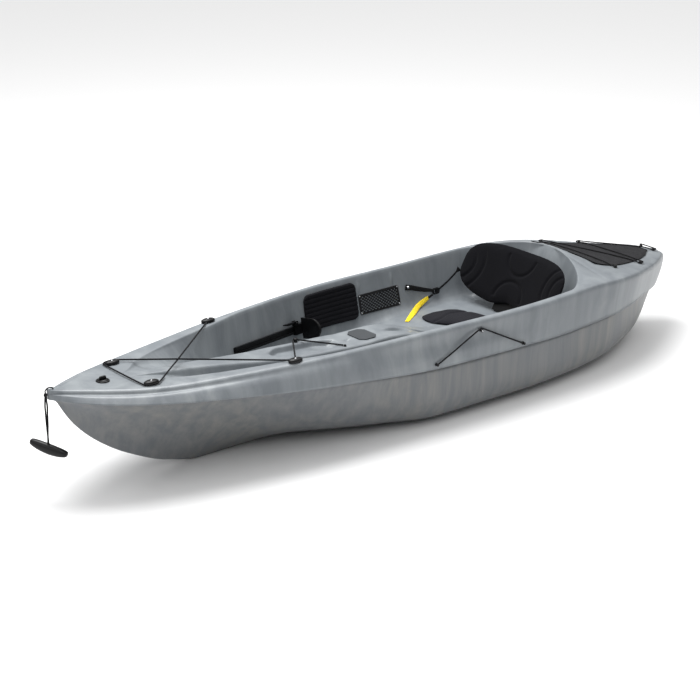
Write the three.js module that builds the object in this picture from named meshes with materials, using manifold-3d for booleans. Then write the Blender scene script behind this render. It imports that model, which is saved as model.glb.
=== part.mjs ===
import * as THREE from 'three';
import { mergeVertices } from 'three/addons/utils/BufferGeometryUtils.js';
import Module from 'manifold-3d';

// Ten-foot sit-inside fishing kayak, in millimetres.
// +X points to the bow, +Y to port and +Z up. The origin is on the keel, amidships.

const wasm = await Module();
wasm.setup();

// Driving sizes of the boat
const LENGTH = 3048;
const BEAM = 760;
const DEPTH = 400;
const SKIN = 5;
const GAP = 0.3;
const OVERRUN = 10;

const HALF = LENGTH / 2;
const HALF_BEAM = BEAM / 2;

// A place on the boat, from its shares of the half length, the half beam and the depth
function spot(placeShares) {
  const whole = { x: HALF, y: HALF_BEAM, z: DEPTH };
  return Object.fromEntries(Object.entries(placeShares).map(([axis, share]) =>
    [axis, share * whole[axis]]));
}
const alongBoat = (xShare) => xShare * HALF;
const upBoat = (zShare) => zShare * DEPTH;

// Plastics, foams and cords
function finish(color, roughness, metalness) {
  return new THREE.MeshStandardMaterial({ color, roughness, metalness });
}
const deckPlastic = finish(0x9ba5a9, 0.45, 0);
const hullPlastic = finish(0x7d8080, 0.5, 0);
const foam = finish(0x17181a, 0.95, 0);
const flotation = finish(0xe8e6df, 0.95, 0);
const blackPlastic = finish(0x111213, 0.5, 0);
const greyPlastic = finish(0x3d4145, 0.6, 0);
const webbing = finish(0x101112, 0.9, 0);
const yellowWebbing = finish(0xe6c81e, 0.8, 0);
const elastic = finish(0x0c0c0d, 0.85, 0);
const netting = finish(0x2c2f31, 0.85, 0);
const steel = finish(0xb9bcc0, 0.3, 1);

const kayak = new THREE.Group();

function add(name, geometry, material, parent = kayak) {
  const mesh = new THREE.Mesh(geometry, material);
  mesh.name = name;
  parent.add(mesh);
  return mesh;
}

// Monotone cubic curve through a table, the fairing batten of the lines plan
function batten(stations, values) {
  const last = stations.length - 1;
  const run = stations.slice(1).map((s, i) => s - stations[i]);
  const rise = run.map((h, i) => (values[i + 1] - values[i]) / h);
  const endSlope = (h0, h1, d0, d1) => {
    const slope = ((2 * h0 + h1) * d0 - h0 * d1) / (h0 + h1);
    if (Math.sign(slope) !== Math.sign(d0)) return 0;
    if (Math.sign(d0) !== Math.sign(d1) && Math.abs(slope) > 3 * Math.abs(d0)) return 3 * d0;
    return slope;
  };
  const slopes = stations.map((s, i) => {
    if (i === 0) return endSlope(run[0], run[1], rise[0], rise[1]);
    if (i === last) return endSlope(run[last - 1], run[last - 2], rise[last - 1], rise[last - 2]);
    if (rise[i - 1] * rise[i] <= 0) return 0;
    const before = 2 * run[i] + run[i - 1];
    const after = run[i] + 2 * run[i - 1];
    return (before + after) / (before / rise[i - 1] + after / rise[i]);
  });
  return (s) => {
    const at = Math.min(stations[last], Math.max(stations[0], s));
    let i = 0;
    while (i < last - 1 && at > stations[i + 1]) i += 1;
    const t = (at - stations[i]) / run[i];
    const a = (1 + 2 * t) * (1 - t) ** 2;
    const b = t * (1 - t) ** 2;
    const c = t * t * (3 - 2 * t);
    const d = t * t * (t - 1);
    return a * values[i] + b * run[i] * slopes[i] + c * values[i + 1] + d * run[i] * slopes[i + 1];
  };
}
const lerp = (a, b, t) => a + (b - a) * t;
const clamp = (value, low, high) => Math.min(high, Math.max(low, value));

// Lines plan. Stations are shares of the half length, breadths of the half beam, heights of the depth.
const beamStationShares = [-1, -0.985, -0.96, -0.93, -0.88, -0.8, -0.7, -0.6, -0.3, 0, 0.3, 0.6, 0.8,
  0.93, 1];
const seamBreadthShares = [0.07, 0.13, 0.19, 0.26, 0.38, 0.54, 0.74, 0.868, 1, 0.997, 0.945, 0.76, 0.558,
  0.297, 0.026];
const gunwaleBreadthShares = [0.06, 0.14, 0.22, 0.31, 0.44, 0.62, 0.81, 0.915, 0.995, 0.971, 0.871, 0.653,
  0.44, 0.176, 0.02];
const seamHeightStationShares = [-1, -0.66, -0.33, 0, 0.33, 0.66, 1];
const seamHeightShares = [0.4925, 0.58, 0.5975, 0.625, 0.72, 0.8275, 0.96];
const gunwaleHeightStationShares = [-1, -0.98, -0.95, -0.88, -0.8, -0.72, -0.62, -0.5, -0.25, 0.05, 0.4,
  0.7, 1];
const gunwaleHeightShares = [0.75, 0.79, 0.82, 0.845, 0.885, 0.93, 0.975, 1.005, 0.9925, 1.0075, 0.99,
  0.98, 1.0475];
const keelStationShares = [-1, -0.93, -0.8, 0.6, 0.7, 0.8, 0.88, 0.95, 1];
const keelHeightShares = [0.637, 0.225, 0, 0, 0.072, 0.231, 0.415, 0.662, 0.963];
const keelFlatStationShares = [-1, -0.5, 0, 0.2, 0.35, 0.5, 0.7, 1];
const keelFlatShares = [0.299, 0.3, 0.3, 0.172, 0.036, 0.03, 0.047, 0.057];
const bilgeStationShares = [-1, -0.8, -0.5, -0.2, 0, 0.15, 0.3, 0.45, 0.6, 0.8, 1];
const bilgeBreadthShares = [0.687, 0.965, 0.969, 0.97, 0.967, 0.849, 0.715, 0.575, 0.478, 0.39, 0.301];
const bilgeHeightShares = [0.389, 0.214, 0.029, 0.01, 0.022, 0.11, 0.208, 0.378, 0.489, 0.558, 0.614];
const crownStationShares = [-1, -0.98, -0.95, -0.92, -0.8, -0.69, -0.64, -0.6, -0.571, -0.525, -0.43, -0.33,
  0.7, 0.85, 0.92, 1];
const crownHeightShares = [0.76, 0.8, 0.83, 0.85, 0.905, 0.975, 1.03, 1.1, 1.145, 1.14, 1.04, 1.01,
  0.98, 0.99, 1.005, 1.05];

const seamBreadth = batten(beamStationShares, seamBreadthShares.map((s) => s * HALF_BEAM));
const gunwaleBreadth = batten(beamStationShares, gunwaleBreadthShares.map((s) => s * HALF_BEAM));
const seamHeight = batten(seamHeightStationShares, seamHeightShares.map((s) => s * DEPTH));
const gunwaleHeight = batten(gunwaleHeightStationShares, gunwaleHeightShares.map((s) => s * DEPTH));
const keelHeight = batten(keelStationShares, keelHeightShares.map((s) => s * DEPTH));
const keelFlat = batten(keelFlatStationShares, keelFlatShares);
const bilgeBreadth = batten(bilgeStationShares, bilgeBreadthShares);
const bilgeHeight = batten(bilgeStationShares, bilgeHeightShares);
const crownHeight = batten(crownStationShares, crownHeightShares.map((s) => s * DEPTH));

// Cockpit opening, its floor and the centre console
const openingFrontShare = 0.794;
const openingRearShare = -0.571;
const openingArcShare = -0.433;
const openingArcPowerShare = 1.7;
const rimStationShares = [-0.433, 0.131, 0.328, 0.43, 0.525, 0.62, 0.719, 0.755, 0.794];
const rimBreadthShares = [0.926, 0.925, 0.9, 0.83, 0.783, 0.71, 0.53, 0.33, 0.14];
const narrowRimShare = 0.09;
const fanShare = 0.06;
const deckSpreadShare = 0.84;
const floorStationShares = [-0.571, -0.558, -0.545, -0.518, -0.498, -0.472, -0.459, -0.44, -0.217, -0.131,
  -0.072, -0.026, 0.026, 0.079, 0.197, 0.315, 0.38, 0.446, 0.512, 0.59, 0.656, 0.722, 0.794];
const floorHeightShares = [1.145, 1.04, 0.91, 0.69, 0.6, 0.57, 0.545, 0.52, 0.52, 0.5,
  0.4625, 0.375, 0.27, 0.23, 0.22, 0.23, 0.3, 0.475, 0.645, 0.79, 0.875, 0.94, 0.982];
const consoleStationShares = [-0.217, -0.164, -0.098, -0.039, 0, 0.04, 0.13, 0.164, 0.295, 0.394, 0.525,
  0.656, 0.794];
const consoleHeightShares = [0.52, 0.555, 0.63, 0.7025, 0.7325, 0.745, 0.745, 0.755, 0.785, 0.82, 0.885,
  0.945, 0.982];
const consoleBreadthStationShares = [-0.571, -0.459, -0.217, -0.131, -0.04, 0, 0.197, 0.328, 0.427, 0.525,
  0.656, 0.794];
const consoleBreadthShares = [0.1, 0.237, 0.237, 0.21, 0.19, 0.21, 0.221, 0.21, 0.163, 0.118, 0.08, 0.03];
const consoleRimLimitShare = 0.4;
const rimBreadth = batten(rimStationShares, rimBreadthShares);
const floorHeight = batten(floorStationShares, floorHeightShares.map((s) => s * DEPTH));
const consoleHeight = batten(consoleStationShares, consoleHeightShares.map((s) => s * DEPTH));
const consoleBreadth = batten(consoleBreadthStationShares, consoleBreadthShares.map((s) => s * HALF_BEAM));

// Tray in the console, and the storage well in the rear deck
const TRAY_HALF_WIDTH = 57;
const TRAY_DEPTH = 24;
const TRAY_DRAFT = 8;
const trayStationShares = [0.165, 0.185, 0.225, 0.32, 0.378];
const trayBreadthShares = [0.45, 0.62, 1, 1, 0.08];
const trayDepthStationShares = [0.165, 0.185, 0.345, 0.378];
const trayDepthShares = [0, 1, 1, 0];
const trayBreadth = batten(trayStationShares, trayBreadthShares.map((s) => s * TRAY_HALF_WIDTH));
const trayDepth = batten(trayDepthStationShares, trayDepthShares.map((s) => s * TRAY_DEPTH));
const WELL_DEPTH = 55;
const wellStationShares = [-0.9, -0.86, -0.67, -0.64];
const wellDepthShares = [0, 1, 1, 0];
const coverStationShares = [-1, -0.925, -0.886, -0.8, -0.678, -0.619];
const coverBreadthShares = [0.04, 0.095, 0.224, 0.395, 0.513, 0.492];
const COVER_LAP = 22;
const coverBreadth = batten(coverStationShares, coverBreadthShares.map((s) => s * HALF_BEAM));
const wellDepth = batten(wellStationShares, wellDepthShares.map((s) => s * WELL_DEPTH));

// Sections of the deck
const SHOULDER_DROP = 18;
const SHOULDER_RUN = 5;
const CREST_RUN = 16;
const LIP_RUN = 5;
const LIP_DROP = 12;
const WALL_DRAFT = 45;
const FOOT_RISE = 28;
const FOOT_RUN = 22;
const CONSOLE_FOOT = 4;
const consoleDraftShare = 0.12;
const cornerDropShare = 0.15;
const wallDraftShare = 0.3;
const HULL_CLEARANCE = 22;
const HOLLOW_DEPTH = 13;
const hollowStationShares = [-0.3, -0.05, 0.3];
const hollowShares = [0, 1, 0];
const hollow = batten(hollowStationShares, hollowShares.map((s) => s * HOLLOW_DEPTH));
const sideLowShare = 0.3;
const sideHighShare = 0.62;
const SIDE_BULGE = 3;
const FLANGE_WIDTH = 15;
const FLANGE_THICKNESS = 4;
const flangeLeastShare = 0.12;
const skinLimitShare = 0.22;
const STERN_RAKE = 45;
const sternRakeShare = 0.12;
const sternPowerShare = 1.6;

// Sections of the hull
const bilgeTangentShare = 0.55;
const hullBreadthShare = 0.97;
const HULL_BOW_INSET = 23;
const HULL_STERN_INSET = 44;
const MIN_STEM = 6;

function deckHeight(u, y) {
  const edge = gunwaleBreadth(u);
  const share = Math.min(1, Math.abs(y) / edge);
  return lerp(crownHeight(u), gunwaleHeight(u), share * share);
}

function inCockpit(u) {
  return u >= openingRearShare && u <= openingFrontShare;
}

function rimAt(u) {
  const edge = gunwaleBreadth(u);
  const narrow = narrowRimShare * HALF_BEAM;
  if (!inCockpit(u)) {
    const away = u > 0 ? u - openingFrontShare : openingRearShare - u;
    const spread = u < 0 ? Math.max(coverBreadth(u) - COVER_LAP, coverBreadth(u) / 2) : edge *
      deckSpreadShare;
    return lerp(Math.min(narrow, spread), spread, clamp(away / fanShare, 0, 1));
  }
  const open = rimBreadth(u) * edge;
  if (u > openingArcShare) return open;
  const t = (openingArcShare - u) / (openingArcShare - openingRearShare);
  return Math.max(narrow, open * (1 - t ** openingArcPowerShare) ** (1 / openingArcPowerShare));
}

function floorAt(u) {
  return inCockpit(u) ? floorHeight(u) : deckHeight(u, 0) - (u < 0 ? wellDepth(u) : 0);
}

function consoleAt(u) {
  return inCockpit(u) && u > consoleStationShares[0] ? Math.max(consoleHeight(u), floorAt(u)) : floorAt(u);
}

// The hull's rim lies under the seam of the deck
const hullLength = (u) => (u < 0 ? HALF - HULL_STERN_INSET : HALF - HULL_BOW_INSET);
const sternRake = (u) => STERN_RAKE * clamp((-u - (1 - sternRakeShare)) / sternRakeShare, 0, 1) ** 2;
function hullRimHeight(u) {
  const x = u * hullLength(u);
  let deckShare = x / HALF;
  for (let i = 0; i < 8; i += 1) deckShare = Math.max(-1, (x - sternRake(deckShare)) / HALF);
  return seamHeight(deckShare) - GAP;
}
const hullRimBreadth = (u) => hullBreadthShare * seamBreadth(u);

// Half section of the hull from its rim to the keel, as [y, z] pairs
function hullHalfSection(u) {
  const breadth = hullRimBreadth(u);
  const top = hullRimHeight(u);
  const keel = Math.min(keelHeight(u), top - MIN_STEM);
  const flat = keelFlat(u) * breadth;
  const corner = [bilgeBreadth(u) * breadth, lerp(keel, top, bilgeHeight(u))];
  const from = [lerp(corner[0], breadth, bilgeTangentShare), lerp(corner[1], top, bilgeTangentShare)];
  const to = [lerp(corner[0], flat, bilgeTangentShare), lerp(corner[1], keel, bilgeTangentShare)];
  const rows = [[breadth, top]];
  for (const t of [0, 0.25, 0.5, 0.75, 1]) {
    const a = (1 - t) ** 2;
    const b = 2 * t * (1 - t);
    const c = t * t;
    rows.push([a * from[0] + b * corner[0] + c * to[0], a * from[1] + b * corner[1] + c * to[1]]);
  }
  rows.push([flat, keel], [0, keel]);
  return rows;
}

function hullHalfBreadth(u, z) {
  const rows = hullHalfSection(u);
  for (let i = 1; i < rows.length; i += 1) {
    const [y0, z0] = rows[i - 1];
    const [y1, z1] = rows[i];
    if (z <= z0 && z >= z1 && z0 > z1) return lerp(y0, y1, (z0 - z) / (z0 - z1));
  }
  return rows[0][0];
}

// Half section of the deck from the seam to the centreline
function deckHalfSection(u) {
  const seamY = seamBreadth(u);
  const seamZ = seamHeight(u);
  const gunY = gunwaleBreadth(u);
  const gunZ = gunwaleHeight(u);
  const low = [lerp(seamY, gunY, sideLowShare), lerp(seamZ, gunZ, sideLowShare)];
  const high = [lerp(seamY, gunY, sideHighShare), lerp(seamZ, gunZ, sideHighShare)];
  const edgeShare = Math.min(1, gunY / (CREST_RUN * 3));
  const rows = [
    [seamY, seamZ],
    [low[0] + SIDE_BULGE * edgeShare, low[1]],
    [high[0] + SIDE_BULGE * edgeShare - hollow(u), high[1]],
    [gunY, gunZ - SHOULDER_DROP],
    [gunY - SHOULDER_RUN * edgeShare, gunZ - SHOULDER_RUN],
    [gunY - CREST_RUN * edgeShare, gunZ],
  ];
  const rim = Math.min(rimAt(u), gunY - (CREST_RUN + LIP_RUN) * edgeShare);
  const rimZ = deckHeight(u, rim);
  const floorZ = Math.min(floorAt(u), rimZ);
  const drop = rimZ - floorZ;
  const narrowness = Math.min(1, rim / (WALL_DRAFT / wallDraftShare));
  const draft = WALL_DRAFT * narrowness * clamp(drop / (2 * FOOT_RISE), 0.5, 1);
  const footZ = floorZ + Math.min(FOOT_RISE, cornerDropShare * drop);
  const lipZ = rimZ - Math.min(LIP_DROP, cornerDropShare * drop);
  const lipY = rim - LIP_RUN * narrowness;
  let footY = rim - draft;
  if (inCockpit(u)) footY = Math.min(footY, hullHalfBreadth(u, footZ) - HULL_CLEARANCE);
  const consoleZ = consoleAt(u);
  const consoleY = Math.min(consoleBreadth(u), consoleRimLimitShare * rim);
  let shelfY = footY - FOOT_RUN * narrowness;
  if (inCockpit(u)) shelfY = Math.min(shelfY, hullHalfBreadth(u, floorZ - SKIN) - HULL_CLEARANCE);
  const consoleFootY = Math.min(
    consoleY + (CONSOLE_FOOT + consoleDraftShare * (consoleZ - floorZ)) * narrowness,
    lerp(consoleY, shelfY, 0.6),
  );
  rows.push([rim, rimZ], [lipY, lipZ], [footY, footZ]);
  rows.push([shelfY, floorZ], [consoleFootY, floorZ], [consoleY, consoleZ]);
  const depth = trayDepth(u);
  const trayY = Math.min(Math.max(trayBreadth(u), consoleY * 0.3), consoleY * 0.8);
  rows.push([trayY, consoleZ], [trayY - Math.min(TRAY_DRAFT, trayY * 0.4), consoleZ - depth],
    [0, consoleZ - depth]);
  return rows;
}

// A lofted shell. Each station gives a half section, the shell is its outer face, an inner face
// one skin thickness inside, and what closes the two along the open edge.
const solidEndShare = 0.06;
function shell({ stations, place, halfSection, solidFrom, edge }) {
  const outer = stations.map((u) => {
    const half = halfSection(u);
    const whole = half.concat(half.slice(0, -1).reverse().map(([y, z]) => [-y, z]));
    return whole.map(([y, z]) => new THREE.Vector3(place(u, z), y, z));
  });
  const columns = outer[0].length;
  const normalAt = (i, j) => {
    const along = outer[Math.min(i + 1, outer.length - 1)][j].clone().sub(outer[Math.max(i - 1, 0)][j]);
    const across = outer[i][Math.min(j + 1, columns - 1)].clone().sub(outer[i][Math.max(j - 1, 0)]);
    return along.cross(across).normalize();
  };
  const loops = stations.map((u, i) => {
    const { inward, first, last } = edge(u);
    const inner = outer[i].map((point, j) => {
      const moved = point.clone().addScaledVector(normalAt(i, j), inward * SKIN);
      if (j === 0 || j === columns - 1) moved.set(point.x, point.y * first.share, first.z);
      return moved;
    });
    const floor = inner[0].z;
    if (Math.abs(u) > solidFrom) {
      for (const point of inner) {
        point.y *= 0.5;
        point.z = floor + (point.z - floor) * solidEndShare;
      }
    }
    const seam = outer[i][0];
    const starboard = last.map(([share, z]) => new THREE.Vector3(seam.x, -seam.y * share, z));
    const port = last.map(([share, z]) => new THREE.Vector3(seam.x, seam.y * share, z));
    return [...outer[i], ...starboard, ...inner.reverse(), ...port.reverse()];
  });
  return loft(loops, columns, edge(stations[0]).last.length);
}

// Joins closed loops of equal length, and caps both ends of a C-shaped ring
function loft(loops, columns, extra) {
  const size = loops[0].length;
  const points = loops.flat();
  const faces = [];
  const quad = (a, b, c, d) => faces.push([a, b, c], [a, c, d]);
  const middle = (columns - 1) / 2;
  for (let i = 0; i < loops.length - 1; i += 1) {
    for (let j = 0; j < size; j += 1) {
      const next = (j + 1) % size;
      const ring = [i * size + j, i * size + next, (i + 1) * size + next, (i + 1) * size + j];
      if (j >= middle && j < columns + extra + middle) ring.push(ring.shift());
      quad(...ring);
    }
  }
  const innerAt = (j) => columns + extra + (columns - 1 - j);
  for (const [i, flip] of [[0, true], [loops.length - 1, false]]) {
    const cap = (a, b, c, d) => {
      const ring = [a, b, c, d].map((k) => i * size + k);
      quad(...(flip ? ring.reverse() : ring));
    };
    for (let j = 0; j < columns - 1; j += 1) cap(j, j + 1, innerAt(j + 1), innerAt(j));
    if (extra) {
      const lastLoop = size - 1;
      cap(0, innerAt(0), lastLoop - extra + 1, lastLoop);
      cap(columns - 1, columns, columns + extra - 1, columns + extra);
    }
  }
  return solidFrom(points, faces);
}

// A closed triangle geometry with its faces turned outward
function solidFrom(points, faces) {
  let volume = 0;
  for (const [a, b, c] of faces) {
    volume += points[a].dot(points[b].clone().cross(points[c]));
  }
  const index = faces.flatMap(([a, b, c]) => (volume > 0 ? [a, b, c] : [a, c, b]));
  const geometry = new THREE.BufferGeometry();
  geometry.setAttribute('position', new THREE.Float32BufferAttribute(points.flatMap((p) =>
    [p.x, p.y, p.z]), 3));
  geometry.setIndex(index);
  return geometry;
}

const deckStationShares = [-1, -0.985, -0.96, -0.93, -0.9, -0.87, -0.8, -0.72, -0.67, -0.635, -0.6, -0.571,
  -0.563, -0.55, -0.535, -0.517, -0.497, -0.472, -0.44, -0.37, -0.3, -0.217, -0.15, -0.09, -0.04, 0.026,
  0.1, 0.165, 0.185, 0.225, 0.27, 0.32, 0.35, 0.38, 0.44, 0.512, 0.59, 0.656, 0.719, 0.76,
  0.794, 0.83, 0.87, 0.92, 0.96, 0.985, 1];
const hullStationShares = [-1, -0.985, -0.96, -0.93, -0.9, -0.85, -0.8, -0.72, -0.6, -0.45, -0.3, -0.2,
  -0.1, -0.03,
  0.04, 0.11, 0.2, 0.3, 0.42, 0.5, 0.6, 0.65, 0.7, 0.75, 0.8, 0.84, 0.88, 0.92, 0.95, 0.97, 0.985, 1];

// The stern leans: its seam lies forward of its top edge
function placeDeck(u, z) {
  const up = clamp((z - seamHeight(u)) / (gunwaleHeight(u) - seamHeight(u)), 0, 1);
  return u * HALF + sternRake(u) * (1 - up) ** sternPowerShare;
}
const placeHull = (u) => u * hullLength(u);


const deckShell = shell({
  stations: deckStationShares,
  place: placeDeck,
  halfSection: deckHalfSection,
  solidFrom: 0.984,
  edge: (u) => {
    const skinShare = 1 - Math.min(SKIN / seamBreadth(u), skinLimitShare);
    const rim = hullRimBreadth(clamp(u * HALF / hullLength(u), -1, 1));
    const flangeShare = Math.max((rim - FLANGE_WIDTH) / seamBreadth(u), flangeLeastShare);
    const top = seamHeight(u) + FLANGE_THICKNESS;
    return {
      inward: 1,
      first: { share: skinShare, z: top },
      last: [[flangeShare, seamHeight(u)], [flangeShare, top]],
    };
  },
});
const hullShell = shell({
  stations: hullStationShares,
  place: placeHull,
  halfSection: hullHalfSection,
  solidFrom: 0.965,
  edge: (u) => {
    const share = 1 - Math.min(SKIN / hullRimBreadth(u), skinLimitShare);
    return { inward: -1, first: { share, z: hullRimHeight(u) }, last: [] };
  },
});

// Solids that are cut or joined
function toSolid(geometry) {
  const bare = geometry.clone();
  bare.deleteAttribute('normal');
  bare.deleteAttribute('uv');
  const merged = mergeVertices(bare);
  return new wasm.Manifold(new wasm.Mesh({
    numProp: 3,
    vertProperties: new Float32Array(merged.attributes.position.array),
    triVerts: new Uint32Array(merged.index.array),
  }));
}
function fromSolid(solid) {
  const mesh = solid.getMesh();
  const geometry = new THREE.BufferGeometry();
  geometry.setAttribute('position', new THREE.BufferAttribute(new Float32Array(mesh.vertProperties), 3));
  geometry.setIndex(new THREE.BufferAttribute(new Uint32Array(mesh.triVerts), 1));
  return geometry;
}
const join = (...parts) => fromSolid(parts.map(toSolid).reduce((a, b) => a.add(b)));
const cut = (body, ...tools) => fromSolid(tools.map(toSolid).reduce((a, b) => a.subtract(b),
  toSolid(body)));
const common = (a, b) => fromSolid(toSolid(a).intersect(toSolid(b)));

// Prisms along each axis from a closed outline, and turned pieces about Z
function prismZ(outline, height) {
  const shape = new THREE.Shape(outline.map(([x, y]) => new THREE.Vector2(x, y)));
  return new THREE.ExtrudeGeometry(shape, { depth: height, bevelEnabled: false });
}
const prismX = (outline, length) => prismZ(outline, length)
  .applyMatrix4(new THREE.Matrix4().makeBasis(
    new THREE.Vector3(0, 1, 0), new THREE.Vector3(0, 0, 1), new THREE.Vector3(1, 0, 0)));
const prismY = (outline, width) => prismZ(outline, width)
  .applyMatrix4(new THREE.Matrix4().makeBasis(
    new THREE.Vector3(1, 0, 0), new THREE.Vector3(0, 0, 1), new THREE.Vector3(0, -1, 0)));
function block(x0, x1, y0, y1, z0, z1) {
  return prismZ([[x0, y0], [x1, y0], [x1, y1], [x0, y1]], z1 - z0).translate(0, 0, z0);
}
function turned(profile, sides) {
  return new THREE.LatheGeometry(profile.map(([r, z]) => new THREE.Vector2(r, z)),
    sides).rotateX(Math.PI / 2);
}
function rounded(width, height, radius, steps) {
  const outline = [];
  const corners = [[1, 1], [-1, 1], [-1, -1], [1, -1]];
  corners.forEach(([sx, sy], corner) => {
    for (let i = 0; i <= steps; i += 1) {
      const angle = (corner + i / steps) * Math.PI / 2;
      outline.push([sx * (width / 2 - radius) + radius * Math.cos(angle),
        sy * (height / 2 - radius) + radius * Math.sin(angle)]);
    }
  });
  return outline;
}
function mirrored(geometry) {
  const flipped = geometry.clone().toNonIndexed().scale(1, -1, 1);
  const position = flipped.attributes.position;
  for (let i = 0; i < position.count; i += 3) {
    const [x, y, z] = [position.getX(i + 1), position.getY(i + 1), position.getZ(i + 1)];
    position.setXYZ(i + 1, position.getX(i + 2), position.getY(i + 2), position.getZ(i + 2));
    position.setXYZ(i + 2, x, y, z);
  }
  return flipped;
}
const sides = [['port', 1], ['starboard', -1]];
const sided = (geometry, sign) => (sign > 0 ? geometry : mirrored(geometry));

// A round cord through given points, and a flat strap that keeps its width across one direction
const CORD = 6;
const CORD_SIDES = 8;
function cord(points, diameter = CORD) {
  const side = new THREE.Vector3(0, 0, 1);
  if (Math.abs(points[1].z - points[0].z) > Math.hypot(points[1].x - points[0].x,
    points[1].y - points[0].y)) side.set(0, 1, 0);
  return sleeve(points.map((point, i) => {
    const along = points[Math.min(i + 1,
      points.length - 1)].clone().sub(points[Math.max(i - 1, 0)]).normalize();
    side.addScaledVector(along, -side.dot(along)).normalize();
    const other = along.clone().cross(side);
    return Array.from({ length: CORD_SIDES }, (_, k) => {
      const angle = 2 * Math.PI * k / CORD_SIDES;
      return point.clone().addScaledVector(side, Math.cos(angle) * diameter / 2)
        .addScaledVector(other, Math.sin(angle) * diameter / 2);
    });
  }));
}
const degrees = Math.PI / 180;
function arc(centre, radiusX, radiusY, from, to, steps) {
  return Array.from({ length: steps + 1 }, (_, i) => {
    const angle = lerp(from, to, i / steps) * degrees;
    return new THREE.Vector3(centre.x + radiusX * Math.cos(angle), centre.y + radiusY * Math.sin(angle),
      centre.z);
  });
}
function strap(points, across, width, thickness, steps) {
  const path = new THREE.CatmullRomCurve3(points, false, 'centripetal');
  const loops = [];
  for (let i = 0; i <= steps; i += 1) {
    const centre = path.getPoint(i / steps);
    const along = path.getTangent(i / steps);
    const side = across(i / steps).clone();
    side.addScaledVector(along, -side.dot(along)).normalize().multiplyScalar(width / 2);
    const up = along.clone().cross(side).normalize().multiplyScalar(thickness / 2);
    loops.push([
      centre.clone().add(side).add(up), centre.clone().sub(side).add(up),
      centre.clone().sub(side).sub(up), centre.clone().add(side).sub(up),
    ]);
  }
  return sleeve(loops);
}
function sleeve(loops) {
  const size = loops[0].length;
  const faces = [];
  for (let i = 0; i < loops.length - 1; i += 1) {
    for (let j = 0; j < size; j += 1) {
      const next = (j + 1) % size;
      faces.push([i * size + j, i * size + next, (i + 1) * size + next]);
      faces.push([i * size + j, (i + 1) * size + next, (i + 1) * size + j]);
    }
  }
  const end = (loops.length - 1) * size;
  for (let j = 1; j < size - 1; j += 1) {
    faces.push([0, j + 1, j], [end, end + j, end + j + 1]);
  }
  return solidFrom(loops.flat(), faces);
}

// A padded piece: rings from its middle to its outline, crowned on top, flat below
function cushion({ outline, middle, ringShares, top, bottom, tuckShare, bottomShares = [] }) {
  const points = [];
  const faces = [];
  const size = outline.length;
  const at = ([a, b], share, height) => {
    const x = lerp(middle[0], a, share);
    const y = lerp(middle[1], b, share);
    points.push(new THREE.Vector3(x, y, height(x, y, share)));
  };
  points.push(new THREE.Vector3(middle[0], middle[1], top(...middle, 0)));
  for (const share of ringShares) outline.forEach((p) => at(p, share, top));
  for (const share of [tuckShare, ...bottomShares]) outline.forEach((p) => at(p, share, bottom));
  points.push(new THREE.Vector3(middle[0], middle[1], bottom(...middle, 0)));
  const last = points.length - 1;
  const rings = ringShares.length + 1 + bottomShares.length;
  for (let j = 0; j < size; j += 1) {
    const next = (j + 1) % size;
    faces.push([0, 1 + j, 1 + next]);
    for (let ring = 0; ring < rings - 1; ring += 1) {
      const a = 1 + ring * size;
      const b = a + size;
      faces.push([a + j, b + j, b + next], [a + j, b + next, a + next]);
    }
    const base = 1 + (rings - 1) * size;
    faces.push([last, base + next, base + j]);
  }
  return solidFrom(points, faces);
}

// The moulded deck read along its own facets
const deckSections = deckStationShares.map(deckHalfSection);
function sectionAt(x) {
  const u = clamp(x / HALF, -1, 1);
  let i = 0;
  while (i < deckStationShares.length - 2 && u > deckStationShares[i + 1]) i += 1;
  const t = (u - deckStationShares[i]) / (deckStationShares[i + 1] - deckStationShares[i]);
  return deckSections[i].map(([y, z], k) =>
    [lerp(y, deckSections[i + 1][k][0], t), lerp(z, deckSections[i + 1][k][1], t)]);
}
const crestRow = 5;
const lipRow = 7;
const shelfRow = 9;
function deckTop(x, y) {
  const rows = sectionAt(x);
  const breadth = Math.abs(y);
  for (let k = crestRow; k < rows.length - 1; k += 1) {
    const [y0, z0] = rows[k];
    const [y1, z1] = rows[k + 1];
    if (breadth <= y0 && breadth >= y1) return y0 === y1 ? Math.max(z0, z1) :
      lerp(z0, z1, (y0 - breadth) / (y0 - y1));
  }
  return rows[crestRow][1];
}
function seatOn(x, y, reachX, reachY) {
  let height = 0;
  for (const dx of [-1, -0.5, 0, 0.5, 1]) {
    for (const dy of [-1, -0.5, 0, 0.5, 1]) {
      height = Math.max(height, deckTop(x + dx * reachX, y + dy * reachY));
    }
  }
  return height + GAP;
}
function crossing(rows, z) {
  for (let k = 0; k < rows.length - 1; k += 1) {
    const [y0, z0] = rows[k];
    const [y1, z1] = rows[k + 1];
    if ((z - z0) * (z - z1) <= 0 && z0 !== z1) return lerp(y0, y1, (z - z0) / (z1 - z0));
  }
  return rows[0][0];
}
const wallBreadth = (x, z) => crossing(sectionAt(x).slice(lipRow, shelfRow + 1), z);
const sideBreadth = (x, z) => crossing(sectionAt(x).slice(0, crestRow), z);

// A frame on the cockpit's port wall: X runs forward along it, Y points outboard, Z goes up its slope
function wallFrame(x0, x1, z, reach) {
  const y0 = wallBreadth(x0, z);
  const y1 = wallBreadth(x1, z);
  const middle = (x0 + x1) / 2;
  const slope = (wallBreadth(middle, z + reach) - wallBreadth(middle, z - reach)) / (2 * reach);
  return { x: x0, y: y0, z, turn: Math.atan2(y1 - y0, x1 - x0), tilt: -Math.atan(slope),
    length: Math.hypot(x1 - x0, y1 - y0) };
}
function onWall(frame, sign, inset) {
  const group = new THREE.Group();
  group.rotation.set(sign * frame.tilt, 0, sign * frame.turn, 'ZYX');
  const back = new THREE.Vector3(0, -sign * inset, 0).applyEuler(group.rotation);
  group.position.set(frame.x, sign * frame.y, frame.z).add(back);
  kayak.add(group);
  return group;
}

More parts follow.
